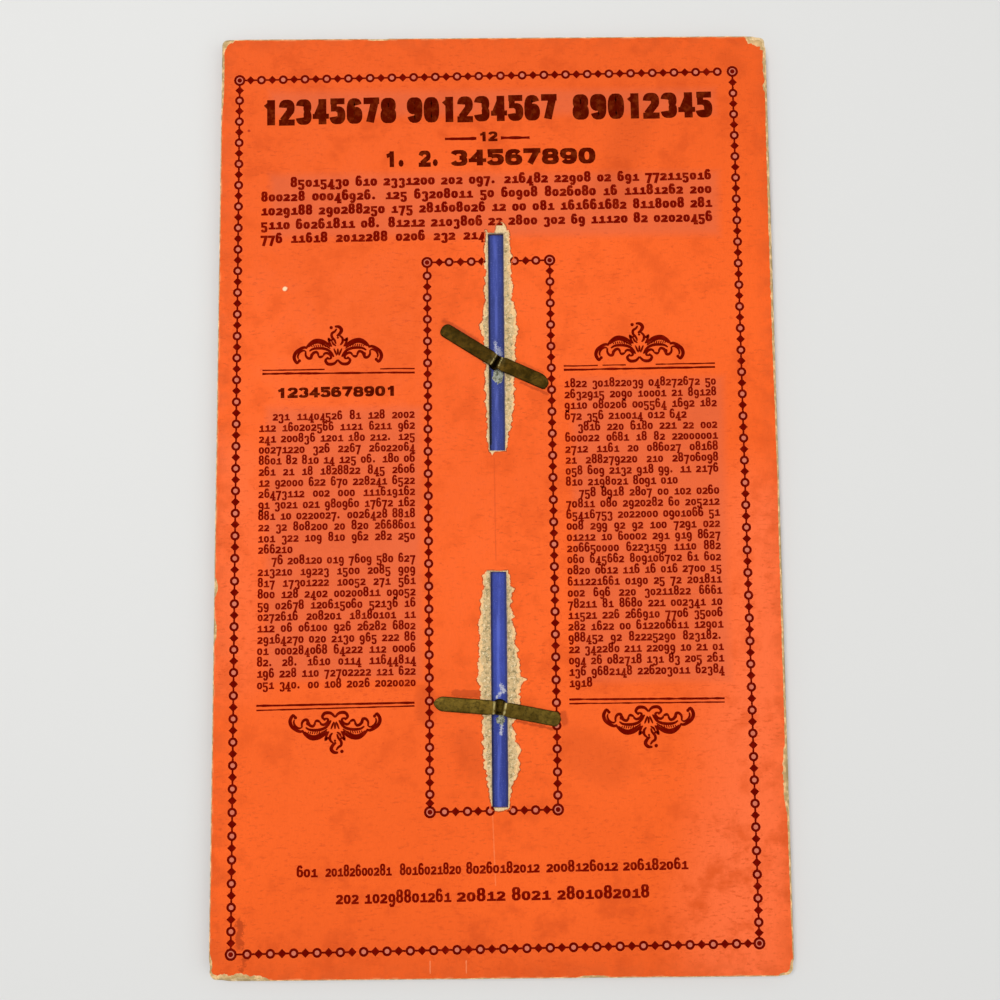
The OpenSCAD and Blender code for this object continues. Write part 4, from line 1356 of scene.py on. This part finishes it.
# Painted shade: the upper pin is painted darker than the lower, and its left prongs darker still
low_down = ease(tree, where["Y"], 10.0, -20.0)
darker = tint(tree, low_down, paint(46, 33, 6), paint(70, 55, 16))
lighter = tint(tree, low_down, paint(74, 54, 16), paint(96, 77, 28))
colour = tint(tree, ease(tree, stained, 0.35, 0.65), darker, lighter)
painted_upper_left_shade = maths(tree, "MULTIPLY", ease(tree, where["X"], 2.0, -5.0, 0.0, 0.42),
                  maths(tree, "SUBTRACT", 1.0, low_down))
colour = tint(tree, painted_upper_left_shade, colour, paint(34, 22, 4))
dull = cloud(tree, place, 1.3, 4.0, 0.7)
colour = tint(tree, ease(tree, dull, 0.46, 0.68, 0.0, 0.6), colour, paint(34, 30, 10))
# The rubbed attribute paints the edges and tips dark, painted shade over darker tarnish, and the bends pale,
# a painted highlight over rubbed brass
rubbed = put(tree, "ShaderNodeAttribute", attribute_name="rubbed").outputs["Fac"]
colour = tint(tree, ease(tree, rubbed, -0.1, -1.0, 0.0, 0.7), colour, paint(22, 16, 6))
rubbed_and_painted_highlight = maths(tree, "MULTIPLY", ease(tree, cloud(tree, place, 1.1, 3.0), 0.35, 0.6),
                    ease(tree, rubbed, 0.1, 1.0, 0.0, 0.9))
colour = tint(tree, rubbed_and_painted_highlight, colour, paint(176, 160, 104))
tree.links.new(ease(tree, dull, 0.3, 0.7, 0.36, 0.58), shader.inputs["Roughness"])
drawn = put(tree, "ShaderNodeMapping", {"Vector": place, "Scale": (0.3, 3.0, 1.0)}).outputs[0]
dents = maths(tree, "ADD", cloud(tree, drawn, 1.6), maths(tree, "MULTIPLY", stained, 2.0))
coat(tree, shader, colour, dents, 0.05)

# Each leg: turned by, mirrored, reach, and its tip's reach and power on either side
for pin, middle_y, gap, bend, legs in (
        ("upper_pin", 32.586, 0.9, 0.35, ((-32.4, True, 16.3, (1.7, 2.3), (1.5, 2.6)),
                                          (-24.2, False, 14.2, (1.1, 2.4), (2.7, 1.7)))),
        ("lower_pin", -53.614, 1.4, 0.65, ((-4.6, True, 16.2, (2.2, 1.6), (2.2, 1.6)),
                                           (-11.4, False, 15.3, (0.9, 1.3), (1.1, 1.4))))):
    mesh = bmesh.new()
    mesh.verts.layers.float.new("rubbed")
    for turn, mirrored, reach, left_tip, right_tip in legs:
        path = leg_path(gap, bend, reach)
        bend_x = gap / 2 + STRIP + bend
        halves = []
        for x, z in path:
            widest = NECK_HALF + (PRONG_HALF - NECK_HALF) * min(max((x - bend_x - 0.05) / 0.3, 0), 1)
            halves.append([min(widest, tip_half(reach - x, *tip)) if x > bend_x else widest
                           for tip in (left_tip, right_tip)])
        sweep(mesh, path, halves, math.radians(turn), mirrored, middle_y)
    foot_turn = math.radians((legs[0][0] + legs[1][0]) / 2)
    foot = [(-FOOT_HALF, FOOT_Z), (0.0, FOOT_Z), (FOOT_HALF, FOOT_Z)]
    sweep(mesh, foot, [(NECK_HALF, NECK_HALF)] * 3, foot_turn, False, middle_y)
    strip = show(build(pin + "_strip", mesh, 50))
    strip.data.materials.append(brass_finish)
    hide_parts(pin + "_legs")
    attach(strip, pin)
    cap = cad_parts[pin + "_cap"]
    cap.data.materials.clear()
    cap.data.materials.append(brass_finish)

# ---------------------------------------------------------------- print on the two faces
# Numbers only, read from the front: the bottom card's rows, one of which shows in each
# window wherever the top card stands, and the tables that are printed on the top card.
FROM_FRONT = (0, math.pi, 0)
face_ink = make_ink("face_ink", paint(20, 18, 36), paint(34, 34, 74))
ROWS_Z = FACE_LOW - 0.012
TABLES_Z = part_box("top_card_front_paper")[0].z / MM - 0.012
COLUMNS = (47.5, 34.5, 21.5, 8.5, -8.5, -21.5, -34.5)
LABEL_COLUMN = -47.5
ROW_PITCH = 7.8
# The column that each month's numbers stand in
MONTH_COLUMNS = (1, 4, 4, 0, 2, 5, 0, 3, 6, 1, 4, 6)


def front_number(letters, number, x, y, tall, cell=None):
    """A number centred on (x, y), reading from the front"""
    cell = cell or tall * 0.72
    for i, figure in enumerate(str(number)):
        at = x - (i - (len(str(number)) - 1) / 2) * cell
        letters.append((Vector((at, y - tall / 2)), int(figure), cell * 0.84, tall))


def plain_place(x, y):
    return Vector((x, y))


def frame_chain(half_w, half_h, middle_y, across, along):
    """A chain round a card's face, with so many rings across its ends and along its sides"""
    corners = [Vector((half_w * x, middle_y + half_h * y)) for x, y in PAGE_CORNERS]
    return chain_round(corners, [(rings, 1.0, 1.0, (True, True)) for rings in (across, along) * 2])


figure_case = cut_type("figure_type", 0.30, 0.18, 1.65, 12, False)
rows_behind = []
for k in range(-2, 5):
    for i, x in enumerate(COLUMNS):
        front_number(rows_behind, (i + k + 2) % 7 + 1, x, 56.6 + ROW_PITCH * k, 3.8)
    for group, middle in enumerate((50.6, -5.4, -61.4)):
        for side, x in enumerate((59.55, -59.55)):
            century = group * 7 + k + 2 + side * 6
            if century < 27:
                front_number(rows_behind, century, x, middle + ROW_PITCH * k, 3.2, 2.4)
print_type("bottom_face_rows", rows_behind, figure_case, ROWS_Z, FROM_FRONT, 7, "bottom_card", title_ink)
print_chain("bottom_face_border", frame_chain(68.8, 116.2, 0.0, 24, 40), ROWS_Z, "bottom_card",
            border_ink, pink_film)

tables = []
front_number(tables, "1234567890", 0, 77.5, 6.0, 8.6)
for i, x in enumerate(COLUMNS):
    front_number(tables, i + 1, x, 63.5, 2.4)
    for row in range(3):
        if row * 7 + i + 3 < 22:
            front_number(tables, row * 7 + i + 3, x, 49.0 - 4.2 * row, 2.4)
for year in range(100):
    place_in_rows = year + year // 4
    front_number(tables, "%02d" % year, COLUMNS[place_in_rows % 7], 34.0 - 3.15 * (place_in_rows // 7), 2.1)
for month, column in enumerate(MONTH_COLUMNS):
    earlier = MONTH_COLUMNS[:month].count(column)
    front_number(tables, month + 1, COLUMNS[column], -29.5 - 3.4 * earlier, 2.4)
for date in range(1, 32):
    front_number(tables, date, COLUMNS[(date - 1) % 7], -62.5 - 3.8 * ((date - 1) // 7), 2.5)
for number, y in enumerate((63.5, 44.8, 7.2, -32.9, -70.1)):
    front_number(tables, number + 1, LABEL_COLUMN, y, 3.4)
print_type("top_face_tables", tables, figure_case, TABLES_Z, FROM_FRONT, 8, "top_card", face_ink)
print_chain("top_face_border", frame_chain(65.2, 89.0, -5.4, 22, 30), TABLES_Z, "top_card",
            face_ink, face_ink)
top_rules = bmesh.new()
for number, y in enumerate((69.8, 52.5, 37.4, -26.5, -40.0, -46.5, -59.5)):
    for lower, width in ((0, 0.4), (0.9, 0.2)):
        rule(top_rules, (-52.0, y - lower), (52.0, y - lower), width, 90 + number, plain_place, TABLES_Z)
finish_print("top_face_rules", top_rules, "top_card", face_ink)

size = [[list(cad_low), list(cad_high)], [list(corner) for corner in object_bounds()]]
